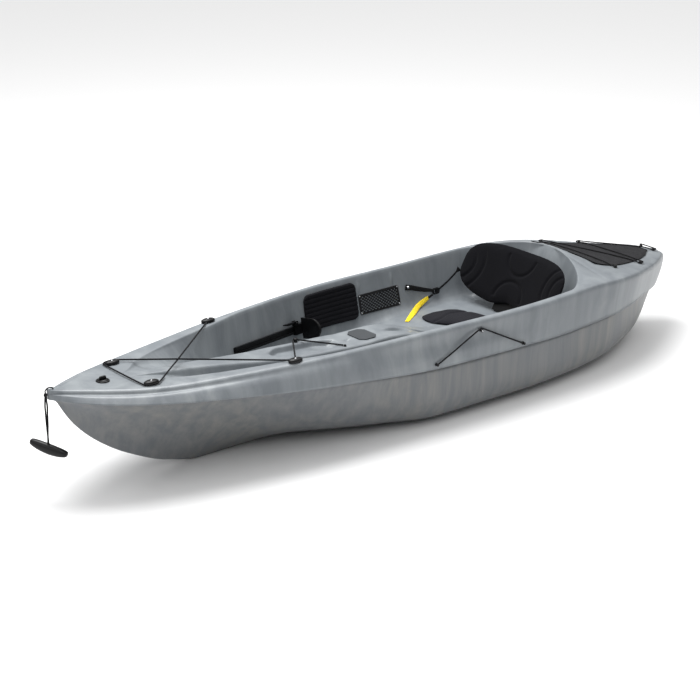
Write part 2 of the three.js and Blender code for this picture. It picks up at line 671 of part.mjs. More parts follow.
// Shells, with the drain and the bow cord's hole through the deck
const DRAIN_X = alongBoat(0.85302);
const DRAIN_BORE = 12.5;
const BOW_HOLE_INSET = 21;
const BOW_HOLE_X = HALF - BOW_HOLE_INSET;
const BOW_HOLE_RADIUS = 4.5;
const HOLE_SIDES = 14;
function hole(x, radius) {
  return turned([[0, -OVERRUN * 3], [radius, -OVERRUN * 3], [radius, OVERRUN * 5], [0, OVERRUN * 5]],
    HOLE_SIDES)
    .translate(x, 0, deckTop(x, 0) - OVERRUN);
}
add('hull_shell', hullShell, hullPlastic);
add('deck_shell', cut(deckShell, hole(DRAIN_X, DRAIN_BORE), hole(BOW_HOLE_X, BOW_HOLE_RADIUS)),
  deckPlastic);

// Foam pillars between the keel and the underside of the deck
const PILLAR_MARGIN = 0.8;
const PILLAR_KEEL_STEP = 20;
const PILLAR_STEPS = 4;
const PILLAR_RISE_STEP = 1;
function hullFloor(x, y) {
  const u = x / hullLength(x);
  let z = Math.max(keelHeight(u), keelHeight(u + PILLAR_KEEL_STEP / HALF));
  while (hullHalfBreadth(u, z) < y + HULL_CLEARANCE / 2) z += PILLAR_RISE_STEP;
  return z + SKIN + GAP;
}
function pillar(name, x0, x1, halfWidth, top) {
  const outline = [];
  for (let i = 0; i <= PILLAR_STEPS; i += 1) {
    const x = lerp(x0, x1, i / PILLAR_STEPS);
    outline.push([x, hullFloor(x, halfWidth)]);
  }
  for (let i = PILLAR_STEPS; i >= 0; i -= 1) {
    const x = lerp(x0, x1, i / PILLAR_STEPS);
    outline.push([x, top(x) - SKIN - GAP - PILLAR_MARGIN]);
  }
  add(name, prismY(outline, 2 * halfWidth).translate(0, halfWidth, 0), flotation);
}
const seatFloorZ = floorHeight(consoleStationShares[0]);
const SEAT_PILLAR = { from: alongBoat(-0.35433), to: alongBoat(-0.24278), halfWidth: 50 };
const BOW_PILLAR = { from: alongBoat(0.43307), to: alongBoat(0.55774), halfWidth: 26 };
const STERN_PILLAR = { from: alongBoat(-0.74147), to: alongBoat(-0.68898), halfWidth: 45 };
pillar('seat_foam_pillar', SEAT_PILLAR.from, SEAT_PILLAR.to, SEAT_PILLAR.halfWidth, () => seatFloorZ);
pillar('bow_foam_block', BOW_PILLAR.from, BOW_PILLAR.to, BOW_PILLAR.halfWidth, (x) =>
  deckTop(x, BOW_PILLAR.halfWidth));
pillar('stern_foam_block', STERN_PILLAR.from, STERN_PILLAR.to, STERN_PILLAR.halfWidth, (x) =>
  deckTop(x, 0));

// Seat pad on the flat cockpit floor: two thigh lobes in front, a shallow curve behind
const SEAT_FRONT = alongBoat(-0.20997);
const SEAT_REAR = alongBoat(-0.36745);
const seatWidthShare = 0.56316;
const SEAT_HALF_WIDTH = seatWidthShare * HALF_BEAM;
const SEAT_THICKNESS = 20;
const SEAT_CROWN = 8;
const SEAT_CHANNEL = 4;
const CHANNEL_WIDTH = 16;
const seatOutlineShares = [[0, 0], [0.04, 0.28], [0.14, 0.62], [0.26, 0.88], [0.5, 0.99], [0.78, 1],
  [0.93, 0.95],
  [0.99, 0.8], [1, 0.62], [0.93, 0.42], [0.8, 0.2], [0.73, 0]];
const seatLength = SEAT_FRONT - SEAT_REAR;
function closedOutline(half, count) {
  const whole = half.concat(half.slice(1, -1).reverse().map(([a, b]) => [a, -b]));
  const curve = new THREE.CatmullRomCurve3(whole.map(([a, b]) => new THREE.Vector3(a, b, 0)), true,
    'centripetal');
  return Array.from({ length: count }, (_, i) => curve.getPointAt(i / count)).map((p) => [p.x, p.y]);
}
function groove(distance, width, depth) {
  return depth * Math.exp(-((distance / width) ** 2) * 4);
}
const seatOutline = closedOutline(
  seatOutlineShares.map(([a, b]) => [SEAT_REAR + a * seatLength, b * SEAT_HALF_WIDTH]), 44);
const waveShares = [-0.55, 0, 0.55];
const SEAT_WAVE = 12;
function seatTop(x, y, share) {
  const swell = SEAT_CROWN * (1 - share ** 4);
  const edge = (SEAT_THICKNESS - SEAT_CROWN) * (1 - 0.35 * share ** 8);
  let channel = 0;
  for (const wave of waveShares) {
    const line = wave * SEAT_HALF_WIDTH + SEAT_WAVE * Math.sin(3 * Math.PI * (x - SEAT_REAR) / seatLength);
    channel = Math.max(channel, groove(y - line, CHANNEL_WIDTH, SEAT_CHANNEL));
  }
  return seatFloorZ + GAP + edge + swell - channel * (1 - share ** 6);
}
add('seat_pad', cushion({
  outline: seatOutline,
  middle: [lerp(SEAT_REAR, SEAT_FRONT, 0.42), 0],
  ringShares: [0.2, 0.4, 0.58, 0.74, 0.87, 0.96, 1],
  top: seatTop,
  bottom: () => seatFloorZ + GAP,
  tuckShare: 0.985,
}), foam);

// Seat back: leaning, wrapped round the sitter, hinged at the foot of its board
const BACK_X = alongBoat(-0.45276);
const BACK_RISE = 138;
const BACK_Z = seatFloorZ + BACK_RISE;
const BACK_LEAN = 0.54;
const backWidthShare = 0.78947;
const BACK_HALF_WIDTH = backWidthShare * HALF_BEAM;
const BACK_HALF_HEIGHT = 134;
const BACK_FRONT = 12;
const BACK_REAR = 12;
const BACK_CROWN = 7;
const BACK_WRAP = 20;
const BACK_WRAP_REACH = 200;
const BACK_NOTCH = 24;
const BACK_NOTCH_REACH = 105;
const backPowerShare = 3;
const BOARD_THICKNESS = 4;
const boardShare = 0.86;
const HINGE_DROP = 145;
const TAB_HALF_WIDTH = 80;
const seatBack = new THREE.Group();
seatBack.position.set(BACK_X, 0, BACK_Z);
seatBack.rotation.y = -BACK_LEAN;
kayak.add(seatBack);

const backWrap = (y) => BACK_WRAP * (y / BACK_WRAP_REACH) ** 2;
function backOutline(count, share) {
  const outline = [];
  for (let i = 0; i < count; i += 1) {
    const angle = 2 * Math.PI * i / count;
    const [c, s] = [Math.cos(angle), Math.sin(angle)];
    const y = Math.sign(c) * Math.abs(c) ** (2 / backPowerShare) * BACK_HALF_WIDTH * share;
    let z = Math.sign(s) * Math.abs(s) ** (2 / backPowerShare) * BACK_HALF_HEIGHT * share;
    if (s < 0) z += BACK_NOTCH * Math.max(0,
      Math.cos(clamp(y / BACK_NOTCH_REACH, -1, 1) * Math.PI / 2)) ** 2;
    outline.push([y, z]);
  }
  return outline;
}
const ARC_RADIUS = 78;
const ARC_HEIGHT = 92;
const SIDE_ARC_RADIUS = 120;
const SIDE_ARC_OFFSET = 300;
const ARC_SPACING = 45;
function backChannels(y, z) {
  const smile = Math.hypot(y, z - ARC_HEIGHT) - ARC_RADIUS;
  const frown = Math.hypot(y, z + ARC_HEIGHT) - ARC_RADIUS;
  const wing = Math.hypot(Math.abs(y) - SIDE_ARC_OFFSET, z) - SIDE_ARC_RADIUS;
  let depth = 0;
  if (z < ARC_HEIGHT) depth = Math.max(depth, groove(smile, CHANNEL_WIDTH, SEAT_CHANNEL));
  if (z > -ARC_HEIGHT) depth = Math.max(depth, groove(frown, CHANNEL_WIDTH, SEAT_CHANNEL));
  depth = Math.max(depth, groove(wing, CHANNEL_WIDTH, SEAT_CHANNEL));
  return Math.max(depth, groove(wing + ARC_SPACING, CHANNEL_WIDTH, SEAT_CHANNEL));
}
function asBack(geometry) {
  const position = geometry.attributes.position;
  for (let i = 0; i < position.count; i += 1) {
    const [y, z, x] = [position.getX(i), position.getY(i), position.getZ(i)];
    position.setXYZ(i, x + backWrap(y), y, z);
  }
  return geometry;
}
add('seat_back_pad', asBack(cushion({
  outline: backOutline(52, 1),
  middle: [0, 0],
  ringShares: [0.14, 0.28, 0.42, 0.55, 0.68, 0.8, 0.9, 0.97, 1],
  top: (y, z, share) => BACK_FRONT * (1 - 0.5 * share ** 10) + BACK_CROWN * (1 - share ** 4)
    - backChannels(y, z) * (1 - share ** 8),
  bottom: () => -BACK_REAR,
  tuckShare: 0.985,
})), foam, seatBack);

// The board follows the pad's wrap, and its foot reaches down to the hinge tab
function boardOutline() {
  const outline = backOutline(36, boardShare).filter(([y, z]) => z > 0 || Math.abs(y) > TAB_HALF_WIDTH *
    1.1);
  const at = outline.findIndex(([y, z]) => z < 0 && y > 0);
  const shoulder = -BACK_HALF_HEIGHT * boardShare;
  const foot = [[-TAB_HALF_WIDTH, shoulder], [-TAB_HALF_WIDTH, -HINGE_DROP],
    [-TAB_HALF_WIDTH / 2, -HINGE_DROP], [0, -HINGE_DROP],
    [TAB_HALF_WIDTH / 2, -HINGE_DROP], [TAB_HALF_WIDTH, -HINGE_DROP], [TAB_HALF_WIDTH, shoulder]];
  return [...outline.slice(0, at), ...foot, ...outline.slice(at)];
}
const boardRingShares = [0.34, 0.67, 1];
function seatBoard() {
  const flat = cushion({
    outline: boardOutline(),
    middle: [0, 0],
    ringShares: boardRingShares,
    top: () => BOARD_THICKNESS,
    bottom: () => 0,
    tuckShare: 1,
    bottomShares: boardRingShares.slice(0, -1).reverse(),
  });
  return asBack(flat).translate(-BACK_REAR - GAP - BOARD_THICKNESS, 0, 0);
}
add('seat_back_board', seatBoard(), blackPlastic, seatBack);

// Tab that carries the seat back, riveted to the floor behind the board's foot
const TAB_REACH = 61.6;
const TAB_FRONT = BACK_X + TAB_REACH;
const TAB_LENGTH = 34;
const TAB_THICKNESS = 3;
const RIVET_RADIUS = 6;
const RIVET_HEIGHT = 3;
const RIVET_SIDES = 12;
const HEAD_SIDES = 8;
const headShare = 0.7;
function rivetHead(radius, height) {
  return turned([[0, 0], [radius, 0], [radius * headShare, height], [0, height]], HEAD_SIDES);
}
const tabOutline = rounded(TAB_LENGTH, 2 * TAB_HALF_WIDTH, TAB_LENGTH / 3, 3);
add('seat_hinge_tab', prismZ(tabOutline, TAB_THICKNESS)
  .translate(TAB_FRONT - TAB_LENGTH / 2, 0, seatFloorZ + GAP), blackPlastic);
for (const [side, sign] of sides) {
  add(`seat_tab_rivet_${side}`, rivetHead(RIVET_RADIUS, RIVET_HEIGHT).translate(TAB_FRONT - TAB_LENGTH / 2,
    sign * (TAB_HALF_WIDTH - 2 * RIVET_RADIUS), seatFloorZ + TAB_THICKNESS + 2 * GAP), steel);
}

// Side straps of the seat: anchor, buckle, strap to the back, and the yellow tail
const ANCHOR = spot({ x: -0.23885, z: 0.7575 });
const BUCKLE = { ...spot({ x: -0.33333, z: 0.655 }), length: 34, width: 26, thickness: 9, inset: 12 };
const STRAP_WIDTH = 24;
const STRAP_THICKNESS = 2.4;
const STRAP_INSET = 4.2;
const STRAP_ENDS = { anchorIn: 1, anchorUp: 6, backUp: 5 };
const WING = spot({ x: -0.40814, y: 0.78947, z: 0.805 });
const TAIL_WIDTH = 22;
const TAIL_THICKNESS = 2;
const up = new THREE.Vector3(0, 0, 1);
const buckleY = wallBreadth(BUCKLE.x, BUCKLE.z) - BUCKLE.inset;
const anchorY = wallBreadth(ANCHOR.x, ANCHOR.z);
function buckle() {
  const frame = prismY(rounded(BUCKLE.length, BUCKLE.width, BUCKLE.width / 4, 2), BUCKLE.thickness);
  const slot = prismY(rounded(BUCKLE.length / 3, BUCKLE.width * 0.7, BUCKLE.width / 12, 1),
    BUCKLE.thickness * 2);
  return cut(frame.translate(0, BUCKLE.thickness / 2, 0),
    slot.translate(BUCKLE.length / 5, BUCKLE.thickness, 0));
}
const tailShares = [{ x: -0.29396, y: 0.772, z: 0.6 }, { x: -0.26378, y: 0.74737, z: 0.565 },
  { x: -0.22638, y: 0.64737, z: 0.54 }, { x: -0.17585, y: 0.52632, z: 0 }];
const TAIL_LEAD = { ahead: 6, inward: 5, below: 12 };
const tailPath = [
  [BUCKLE.x + BUCKLE.length / 2 + TAIL_LEAD.ahead, buckleY - TAIL_LEAD.inward, BUCKLE.z - TAIL_LEAD.below],
  ...tailShares.map((place) => Object.values(spot(place))),
];
const TAIL_REST = 2.4;
function tail() {
  const points = tailPath.map(([x, y, z]) => new THREE.Vector3(x, y, z));
  const end = points[points.length - 1];
  end.z = seatOn(end.x, end.y, TAIL_WIDTH / 2, TAIL_WIDTH / 2) + TAIL_REST;
  return strap(points, (t) => new THREE.Vector3(0, 0.25 + 0.75 * t, 1 - t), TAIL_WIDTH, TAIL_THICKNESS, 10);
}
for (const [side, sign] of sides) {
  const anchorStrap = strap([
    new THREE.Vector3(ANCHOR.x, anchorY - STRAP_INSET, ANCHOR.z),
    new THREE.Vector3(lerp(ANCHOR.x, BUCKLE.x, 0.5), lerp(anchorY, buckleY, 0.5) - STRAP_INSET * 2,
      lerp(ANCHOR.z, BUCKLE.z, 0.5)),
    new THREE.Vector3(BUCKLE.x + BUCKLE.length / 2 + GAP * 3, buckleY - STRAP_ENDS.anchorIn,
      BUCKLE.z + STRAP_ENDS.anchorUp),
  ], () => up, STRAP_WIDTH * 0.8, STRAP_THICKNESS, 4);
  add(`strap_anchor_${side}`, sided(anchorStrap, sign), webbing);
  const holder = new THREE.Group();
  holder.position.set(BUCKLE.x, sign * buckleY, BUCKLE.z);
  kayak.add(holder);
  add(`strap_buckle_${side}`, sided(buckle(), sign), blackPlastic, holder);
  const backStrap = strap([
    new THREE.Vector3(BUCKLE.x - BUCKLE.length / 2 - STRAP_WIDTH * 0.08, buckleY, BUCKLE.z +
      STRAP_ENDS.backUp),
    new THREE.Vector3(lerp(BUCKLE.x, WING.x, 0.6), lerp(buckleY, WING.y, 0.6), lerp(BUCKLE.z, WING.z, 0.5)),
    new THREE.Vector3(WING.x, WING.y, WING.z),
  ], () => up, STRAP_WIDTH * 0.7, STRAP_THICKNESS, 5);
  add(`seat_strap_${side}`, sided(backStrap, sign), webbing);
  add(`strap_tail_${side}`, sided(tail(), sign), yellowWebbing);
}
const ANCHOR_RIVET_INSET = 9;
for (const [side, sign] of sides) {
  const rivet = rivetHead(RIVET_RADIUS, RIVET_HEIGHT).rotateX(Math.PI / 2)
    .translate(ANCHOR.x - RIVET_RADIUS, anchorY - ANCHOR_RIVET_INSET, ANCHOR.z);
  add(`strap_rivet_${side}`, sided(rivet, sign), steel);
}

// Foot braces: a toothed rail with screwed feet, a sliding pedal and its sprung lever
const RAIL = { from: alongBoat(0.1168), to: alongBoat(0.36745), z: upBoat(0.655), height: 30,
  thickness: 11, foot: 6, footLength: 26, slot: 12, slotDepth: 5 };
const SCREW_RADIUS = 4;
const SCREW_HEAD = 2.4;
const railFrame = wallFrame(RAIL.from, RAIL.to, RAIL.z, RAIL.height / 2);
function footRail() {
  const h = RAIL.height / 2;
  const slot = RAIL.slot / 2;
  const profile = [[0, -h], [0, h], [-RAIL.thickness, h], [-RAIL.thickness, slot],
    [-RAIL.thickness + RAIL.slotDepth, slot],
    [-RAIL.thickness + RAIL.slotDepth, -slot], [-RAIL.thickness, -slot], [-RAIL.thickness, -h]].reverse();
  const bar = prismX(profile, railFrame.length);
  const foot = (x) => block(x, x + RAIL.footLength, -GAP, RAIL.foot, -h * 0.8, h * 0.8);
  const face = -RAIL.thickness + RAIL.slotDepth + GAP;
  const heads = [RAIL.footLength / 3, railFrame.length / 2, railFrame.length - RAIL.footLength / 3]
    .map((x) => rivetHead(SCREW_RADIUS, SCREW_HEAD).rotateX(Math.PI / 2).translate(x, face, 0));
  return join(bar, foot(0), foot(railFrame.length - RAIL.footLength), ...heads);
}
const PEDAL = { at: 42, length: 52, wrap: 5, reach: 96, height: 84, plate: 7, offset: 20 };
const RUNNING = 0.5;
const PIN_CLEARANCE = 0.08;
const PIN_SIDES = 24;
function pedal() {
  const h = RAIL.height / 2 + RUNNING;
  const inner = -RAIL.thickness - RUNNING;
  const outer = inner - PEDAL.wrap;
  const lip = -RAIL.thickness * 0.1;
  const saddle = prismX([[outer, -h - PEDAL.wrap], [lip, -h - PEDAL.wrap], [lip, -h], [inner, -h],
    [inner, h], [lip, h], [lip, h + PEDAL.wrap], [outer, h + PEDAL.wrap]],
      PEDAL.length).translate(-PEDAL.length / 2, 0, 0);
  const round = PEDAL.height / 2;
  const plateOutline = [[outer + PEDAL.wrap * 0.5, -round], [outer + PEDAL.wrap * 0.5, round]];
  const arcs = 10;
  for (let i = 0; i <= arcs; i += 1) {
    const angle = Math.PI / 2 + Math.PI * i / arcs;
    plateOutline.push([outer - PEDAL.reach + round + round * Math.cos(angle), round * Math.sin(angle)]);
  }
  const plate = prismX(plateOutline, PEDAL.plate).translate(-PEDAL.offset, 0, 0);
  const ribOutline = plateOutline.map(([y, z]) => [lerp(outer - PEDAL.reach / 2, y, 0.92), z * 0.82]);
  const ribHole = ribOutline.map(([y, z]) => [lerp(outer - PEDAL.reach / 2, y, 0.86), z * 0.86]);
  const rim = cut(
    prismX(ribOutline, PEDAL.plate * 2).translate(-PEDAL.offset - PEDAL.plate, 0, 0),
    prismX(ribHole, PEDAL.plate * 6).translate(-PEDAL.offset - PEDAL.plate * 3, 0, 0),
  );
  const lugReach = LEVER.width / 2 + RUNNING + LEVER.lug;
  const bridge = block(leverX - LEVER.thickness, leverX + LEVER.thickness, leverY - lugReach, leverY,
    h + PEDAL.wrap / 2, h + PEDAL.wrap);
  return join(saddle, plate, rim, bridge, ...[-1, 1].map(lug));
}
const LEVER = { length: 62, width: 11, thickness: 8, pin: 2.5, rise: 10, lug: 4 };
const leverY = -RAIL.thickness;
const leverZ = RAIL.height / 2 + RUNNING + PEDAL.wrap + LEVER.rise;
const leverX = PEDAL.length / 2 - LEVER.thickness;
function lug(sign) {
  const y = leverY + sign * (LEVER.width / 2 + RUNNING + LEVER.lug / 2);
  const base = RAIL.height / 2 + RUNNING + PEDAL.wrap / 2;
  const body = block(leverX - LEVER.thickness, leverX + LEVER.thickness, y - LEVER.lug / 2, y +
    LEVER.lug / 2,
    base, leverZ + LEVER.thickness * 0.7);
  return cut(body, pinBar(LEVER.pin + RUNNING));
}
function pinBar(radius) {
  const length = LEVER.width + 2 * LEVER.lug + 4 * RUNNING;
  return turned([[0, -length / 2], [radius, -length / 2], [radius, length / 2], [0, length / 2]], PIN_SIDES)
    .rotateX(Math.PI / 2).translate(leverX, leverY, leverZ);
}
function lever() {
  const half = LEVER.thickness / 2;
  const bar = prismY([[leverX - half * 1.4, leverZ - half],
    [leverX + LEVER.length * 0.7, leverZ - half * 0.8],
    [leverX + LEVER.length, leverZ + half * 0.2], [leverX + LEVER.length, leverZ + half * 1.4],
    [leverX + LEVER.length * 0.6, leverZ + half], [leverX - half * 1.4, leverZ + half]], LEVER.width)
    .translate(0, leverY + LEVER.width / 2, 0);
  return cut(bar, pinBar(LEVER.pin + PIN_CLEARANCE));
}
for (const [side, sign] of sides) {
  const rail = onWall(railFrame, sign, RAIL.foot + 2 * GAP);
  add(`foot_rail_${side}`, sided(footRail(), sign), blackPlastic, rail);
  const carriage = new THREE.Group();
  carriage.position.x = PEDAL.at;
  rail.add(carriage);
  add(`foot_pedal_${side}`, sided(pedal(), sign), blackPlastic, carriage);
  add(`pedal_lever_${side}`, sided(lever(), sign), greyPlastic, carriage);
  add(`pedal_pin_${side}`, sided(pinBar(LEVER.pin), sign), steel, carriage);
}

// Fits a flat piece, drawn in the XZ plane with -Y inboard, to the port wall
function clad(geometry, gap) {
  const position = geometry.attributes.position;
  for (let i = 0; i < position.count; i += 1) {
    const [x, y, z] = [position.getX(i), position.getY(i), position.getZ(i)];
    position.setY(i, y + wallBreadth(x, z) - gap);
  }
  return geometry;
}

// Ribbed thigh pads on both walls
const THIGH = {
  from: alongBoat(-0.06693), to: alongBoat(0.10892), low: upBoat(0.5825), height: upBoat(0.365),
  thickness: 9, corner: 26, ribs: 8, groove: 2.5, grooveWidth: 5,
};
const THIGH_STEPS = 5;
const PAD_GAP = 1.2;
const THIGH_GAP = 0.45;
function thighPad() {
  const face = [[-OVERRUN, -THIGH.thickness]];
  for (let i = 1; i < THIGH.ribs; i += 1) {
    const z = THIGH.height * i / THIGH.ribs;
    face.push([z - THIGH.grooveWidth / 2, -THIGH.thickness]);
    face.push([z, -THIGH.thickness + THIGH.groove]);
    face.push([z + THIGH.grooveWidth / 2, -THIGH.thickness]);
  }
  face.push([THIGH.height + OVERRUN, -THIGH.thickness]);
  const loops = [];
  for (let i = 0; i <= THIGH_STEPS; i += 1) {
    const x = lerp(THIGH.from - OVERRUN, THIGH.to + OVERRUN, i / THIGH_STEPS);
    const front = face.map(([z, y]) => new THREE.Vector3(x, y, z + THIGH.low));
    const back = face.map(([z]) => new THREE.Vector3(x, 0, z + THIGH.low)).reverse();
    loops.push([...front, ...back]);
  }
  const slab = clad(stripLoft(loops, face.length), THIGH_GAP);
  const length = THIGH.to - THIGH.from;
  const outline = rounded(length, THIGH.height, THIGH.corner, 4)
    .map(([x, z]) => [x + (THIGH.from + THIGH.to) / 2, z + THIGH.low + THIGH.height / 2]);
  return common(slab, prismY(outline, HALF_BEAM).translate(0, HALF_BEAM, 0));
}
for (const [side, sign] of sides) add(`thigh_pad_${side}`, sided(thighPad(), sign), foam);

// Mesh pocket on the starboard wall
const POCKET = {
  from: Math.round(alongBoat(-0.21129)), to: Math.round(alongBoat(-0.07349)),
  low: Math.round(upBoat(0.605)), height: Math.round(upBoat(0.2)),
  thickness: 2, border: 6, columns: 8, rows: 3, strand: 2.2,
};
const pocketMiddle = [(POCKET.from + POCKET.to) / 2, POCKET.low + POCKET.height / 2];
function pocketNet() {
  const width = POCKET.to - POCKET.from;
  const outline = rounded(width, POCKET.height, POCKET.border, 2)
    .map(([x, z]) => new THREE.Vector2(x + pocketMiddle[0], z + pocketMiddle[1]));
  const shape = new THREE.Shape(outline);
  const cellX = (width - 2 * POCKET.border) / POCKET.columns;
  const cellZ = (POCKET.height - 2 * POCKET.border) / POCKET.rows;
  const hx = cellX / 2 - POCKET.strand;
  const hz = cellZ / 2 - POCKET.strand * cellZ / cellX;
  const diamond = (x, z) => {
    shape.holes.push(new THREE.Path([[x - hx, z], [x, z - hz], [x + hx, z], [x, z + hz]].map((p) =>
      new THREE.Vector2(...p))));
  };
  const left = POCKET.from + POCKET.border;
  const low = POCKET.low + POCKET.border;
  for (let row = 0; row < POCKET.rows; row += 1) {
    for (let column = 0; column < POCKET.columns; column += 1) {
      diamond(left + (column + 0.5) * cellX, low + (row + 0.5) * cellZ);
      if (row && column) diamond(left + column * cellX, low + row * cellZ);
    }
  }
  const net = new THREE.ExtrudeGeometry(shape, { depth: POCKET.thickness, bevelEnabled: false })
    .applyMatrix4(new THREE.Matrix4().makeBasis(
      new THREE.Vector3(1, 0, 0), new THREE.Vector3(0, 0, 1), new THREE.Vector3(0, -1, 0)));
  return clad(net, PAD_GAP);
}
const POCKET_RIVET = 3.5;
function pocketRivet(right, high) {
  const x = lerp(POCKET.from + POCKET.border, POCKET.to - POCKET.border, right);
  const z = lerp(POCKET.low + POCKET.border, POCKET.low + POCKET.height - POCKET.border, high);
  const y = wallBreadth(x, z) - PAD_GAP - POCKET.thickness + GAP;
  return rivetHead(POCKET_RIVET, RIVET_HEIGHT).rotateX(Math.PI / 2).translate(x, y, z);
}
add('mesh_pocket', mirrored(join(
  pocketNet(), pocketRivet(0, 0), pocketRivet(1, 0), pocketRivet(0, 1), pocketRivet(1, 1),
)), netting);

// Dark insert on the console
const CONSOLE_PAD = { x: alongBoat(0.08399), length: 84, width: 112, thickness: 3, chamfer: 20 };
function consolePad() {
  const a = CONSOLE_PAD.length / 2;
  const b = CONSOLE_PAD.width / 2;
  const c = CONSOLE_PAD.chamfer;
  return prismZ([[a, -b + c], [a, b - c], [a - c, b], [-a + c, b], [-a, b - c], [-a, -b + c],
    [-a + c, -b], [a - c, -b]],
    CONSOLE_PAD.thickness);
}
add('console_pad', consolePad(), greyPlastic)
  .position.set(CONSOLE_PAD.x, 0, seatOn(CONSOLE_PAD.x, 0, CONSOLE_PAD.length / 2, CONSOLE_PAD.width / 2));

// Bungee guides on the foredeck and the coaming
const GUIDE = { length: 60, width: 34, side: 9, height: 14 };
const BOW_GUIDE = spot({ x: 0.77428, y: 0.33684 });
const MID_GUIDE = spot({ x: 0.43045, y: 0.72632 });
const GUIDE_SIDES = 14;
function guideBody() {
  const r = GUIDE.length / 2;
  const body = turned([[0, 0], [r, 0], [r, GUIDE.side], [r * 0.75, GUIDE.height * 0.92],
    [r * 0.35, GUIDE.height],
    [0, GUIDE.height]], GUIDE_SIDES).scale(1, GUIDE.width / GUIDE.length, 1);
  return join(body, rivetHead(SCREW_RADIUS, SCREW_HEAD).translate(0, 0, GUIDE.height - GAP));
}
const guides = {};
for (const [end, place] of [['bow', BOW_GUIDE], ['mid', MID_GUIDE]]) {
  for (const [side, sign] of sides) {
    const z = seatOn(place.x, place.y, GUIDE.length / 2, GUIDE.width / 2);
    add(`${end}_guide_${side}`, guideBody(), blackPlastic).position.set(place.x, sign * place.y, z);
    guides[`${end}_${side}`] = new THREE.Vector3(place.x, sign * place.y, z + GUIDE.side / 2 + CORD * 0.1);
  }
}

// Cords run from guide to guide, and lift over each other where they cross
const CORD_SEAT = 1.2;
function fromGuide(name, target) {
  const start = guides[name];
  const way = target.clone().sub(start).setZ(0).normalize();
  const reach = 1 / Math.hypot(way.x / (GUIDE.length / 2), way.y / (GUIDE.width / 2));
  const flank = Math.abs(way.y) * CORD / 2;
  return start.clone().addScaledVector(way, reach + CORD_SEAT + flank * 0.6);
}
const WRAP = CORD / 2 + 4 * GAP;
const CROSS_LIFT = CORD / 2 + 0.6;
const WRAP_ANGLE = 128;
const WRAP_STEPS = 6;
function aroundGuide(name, from, to) {
  return arc(guides[name], GUIDE.length / 2 + WRAP, GUIDE.width / 2 + WRAP, from, to, WRAP_STEPS);
}
function crossingPoints(from, to, lift) {
  const over = from.clone().lerp(to, Math.abs(from.y) / (Math.abs(from.y) + Math.abs(to.y)));
  over.z += lift;
  return [from.clone().lerp(over, 0.6), from.clone().lerp(over, 0.9), over, over.clone().lerp(to, 0.1),
    over.clone().lerp(to, 0.4)];
}
function bowBungee() {
  const first = aroundGuide('bow_starboard', -WRAP_ANGLE, 0);
  const second = aroundGuide('bow_port', 0, WRAP_ANGLE);
  const start = fromGuide('mid_port', first[0]);
  const end = fromGuide('mid_starboard', second[WRAP_STEPS]);
  return cord([
    start, ...crossingPoints(start, first[0], CROSS_LIFT), ...first,
    ...second, ...crossingPoints(second[WRAP_STEPS], end, -CROSS_LIFT), end,
  ]);
}
add('bow_bungee', bowBungee(), elastic);

// Front paddle keeper: from the port guide round a post on the console, and on to a small grommet
const POST = { ...spot({ x: 0.25919, y: -0.18947 }), radius: 6, cap: 9, height: 15, capHeight: 3 };
const GROMMET = { ...spot({ x: 0.17323, y: 0.17895 }), radius: 6, height: 7 };
const postZ = seatOn(POST.x, POST.y, POST.radius, POST.radius);
const grommetZ = seatOn(GROMMET.x, GROMMET.y, GROMMET.radius, GROMMET.radius);
add('front_keeper_post', turned([[0, 0], [POST.radius, 0], [POST.radius, POST.height - POST.capHeight],
  [POST.cap, POST.height - POST.capHeight], [POST.cap, POST.height], [0, POST.height]], RIVET_SIDES),
    blackPlastic)
  .position.set(POST.x, POST.y, postZ);
add('front_keeper_grommet', turned([[0, 0], [GROMMET.radius, 0], [GROMMET.radius, GROMMET.height],
  [0, GROMMET.height]],
  RIVET_SIDES), blackPlastic).position.set(GROMMET.x, GROMMET.y, grommetZ);
function frontKeeper() {
  const post = new THREE.Vector3(POST.x, POST.y, postZ + POST.height / 2 - CORD_SEAT);
  const grommet = new THREE.Vector3(GROMMET.x, GROMMET.y, grommetZ + GROMMET.height / 2);
  const reach = POST.radius + CORD / 2 + 1.5 * GAP;
  const around = arc(post, reach, reach, -37, -137, WRAP_STEPS);
  const start = fromGuide('mid_port', around[0]);
  const way = grommet.clone().sub(around[WRAP_STEPS]).normalize();
  const end = grommet.clone().addScaledVector(way, -GROMMET.radius - GAP);
  return cord([start, start.clone().lerp(around[0], 0.5), ...around,
    around[WRAP_STEPS].clone().lerp(end, 0.5), end]);
}
add('front_keeper_cord', frontKeeper(), elastic);

// Side paddle keeper: a cord between two end plugs, held up by a peg under the coaming
const SIDE_FRONT = spot({ x: 0.04659, z: 0.6825 });
const SIDE_REAR = spot({ x: -0.24278, z: 0.6425 });
const PEG = { ...spot({ x: -0.10171, z: 0.8925 }), radius: 6, length: 15 };
const PLUG = { radius: 6.5, depth: 12 };
const SIDE_STANDOFF = 8;
const sidePoint = ({ x, z }, out) => new THREE.Vector3(x, sideBreadth(x, z) + out, z);
function sidePost(place, radius, length) {
  const back = Math.max(sideBreadth(place.x, place.z + radius), sideBreadth(place.x, place.z - radius),
    sideBreadth(place.x + radius, place.z), sideBreadth(place.x - radius, place.z)) + 2 * GAP;
  return turned([[0, 0], [radius, 0], [radius, length], [0, length]], RIVET_SIDES)
    .rotateX(-Math.PI / 2).translate(place.x, back, place.z);
}
add('side_keeper_plug_front', sidePost(SIDE_FRONT, PLUG.radius, PLUG.depth), blackPlastic);
add('side_keeper_plug_rear', sidePost(SIDE_REAR, PLUG.radius, PLUG.depth), blackPlastic);
add('side_keeper_peg', sidePost(PEG, PEG.radius, PEG.length), blackPlastic);
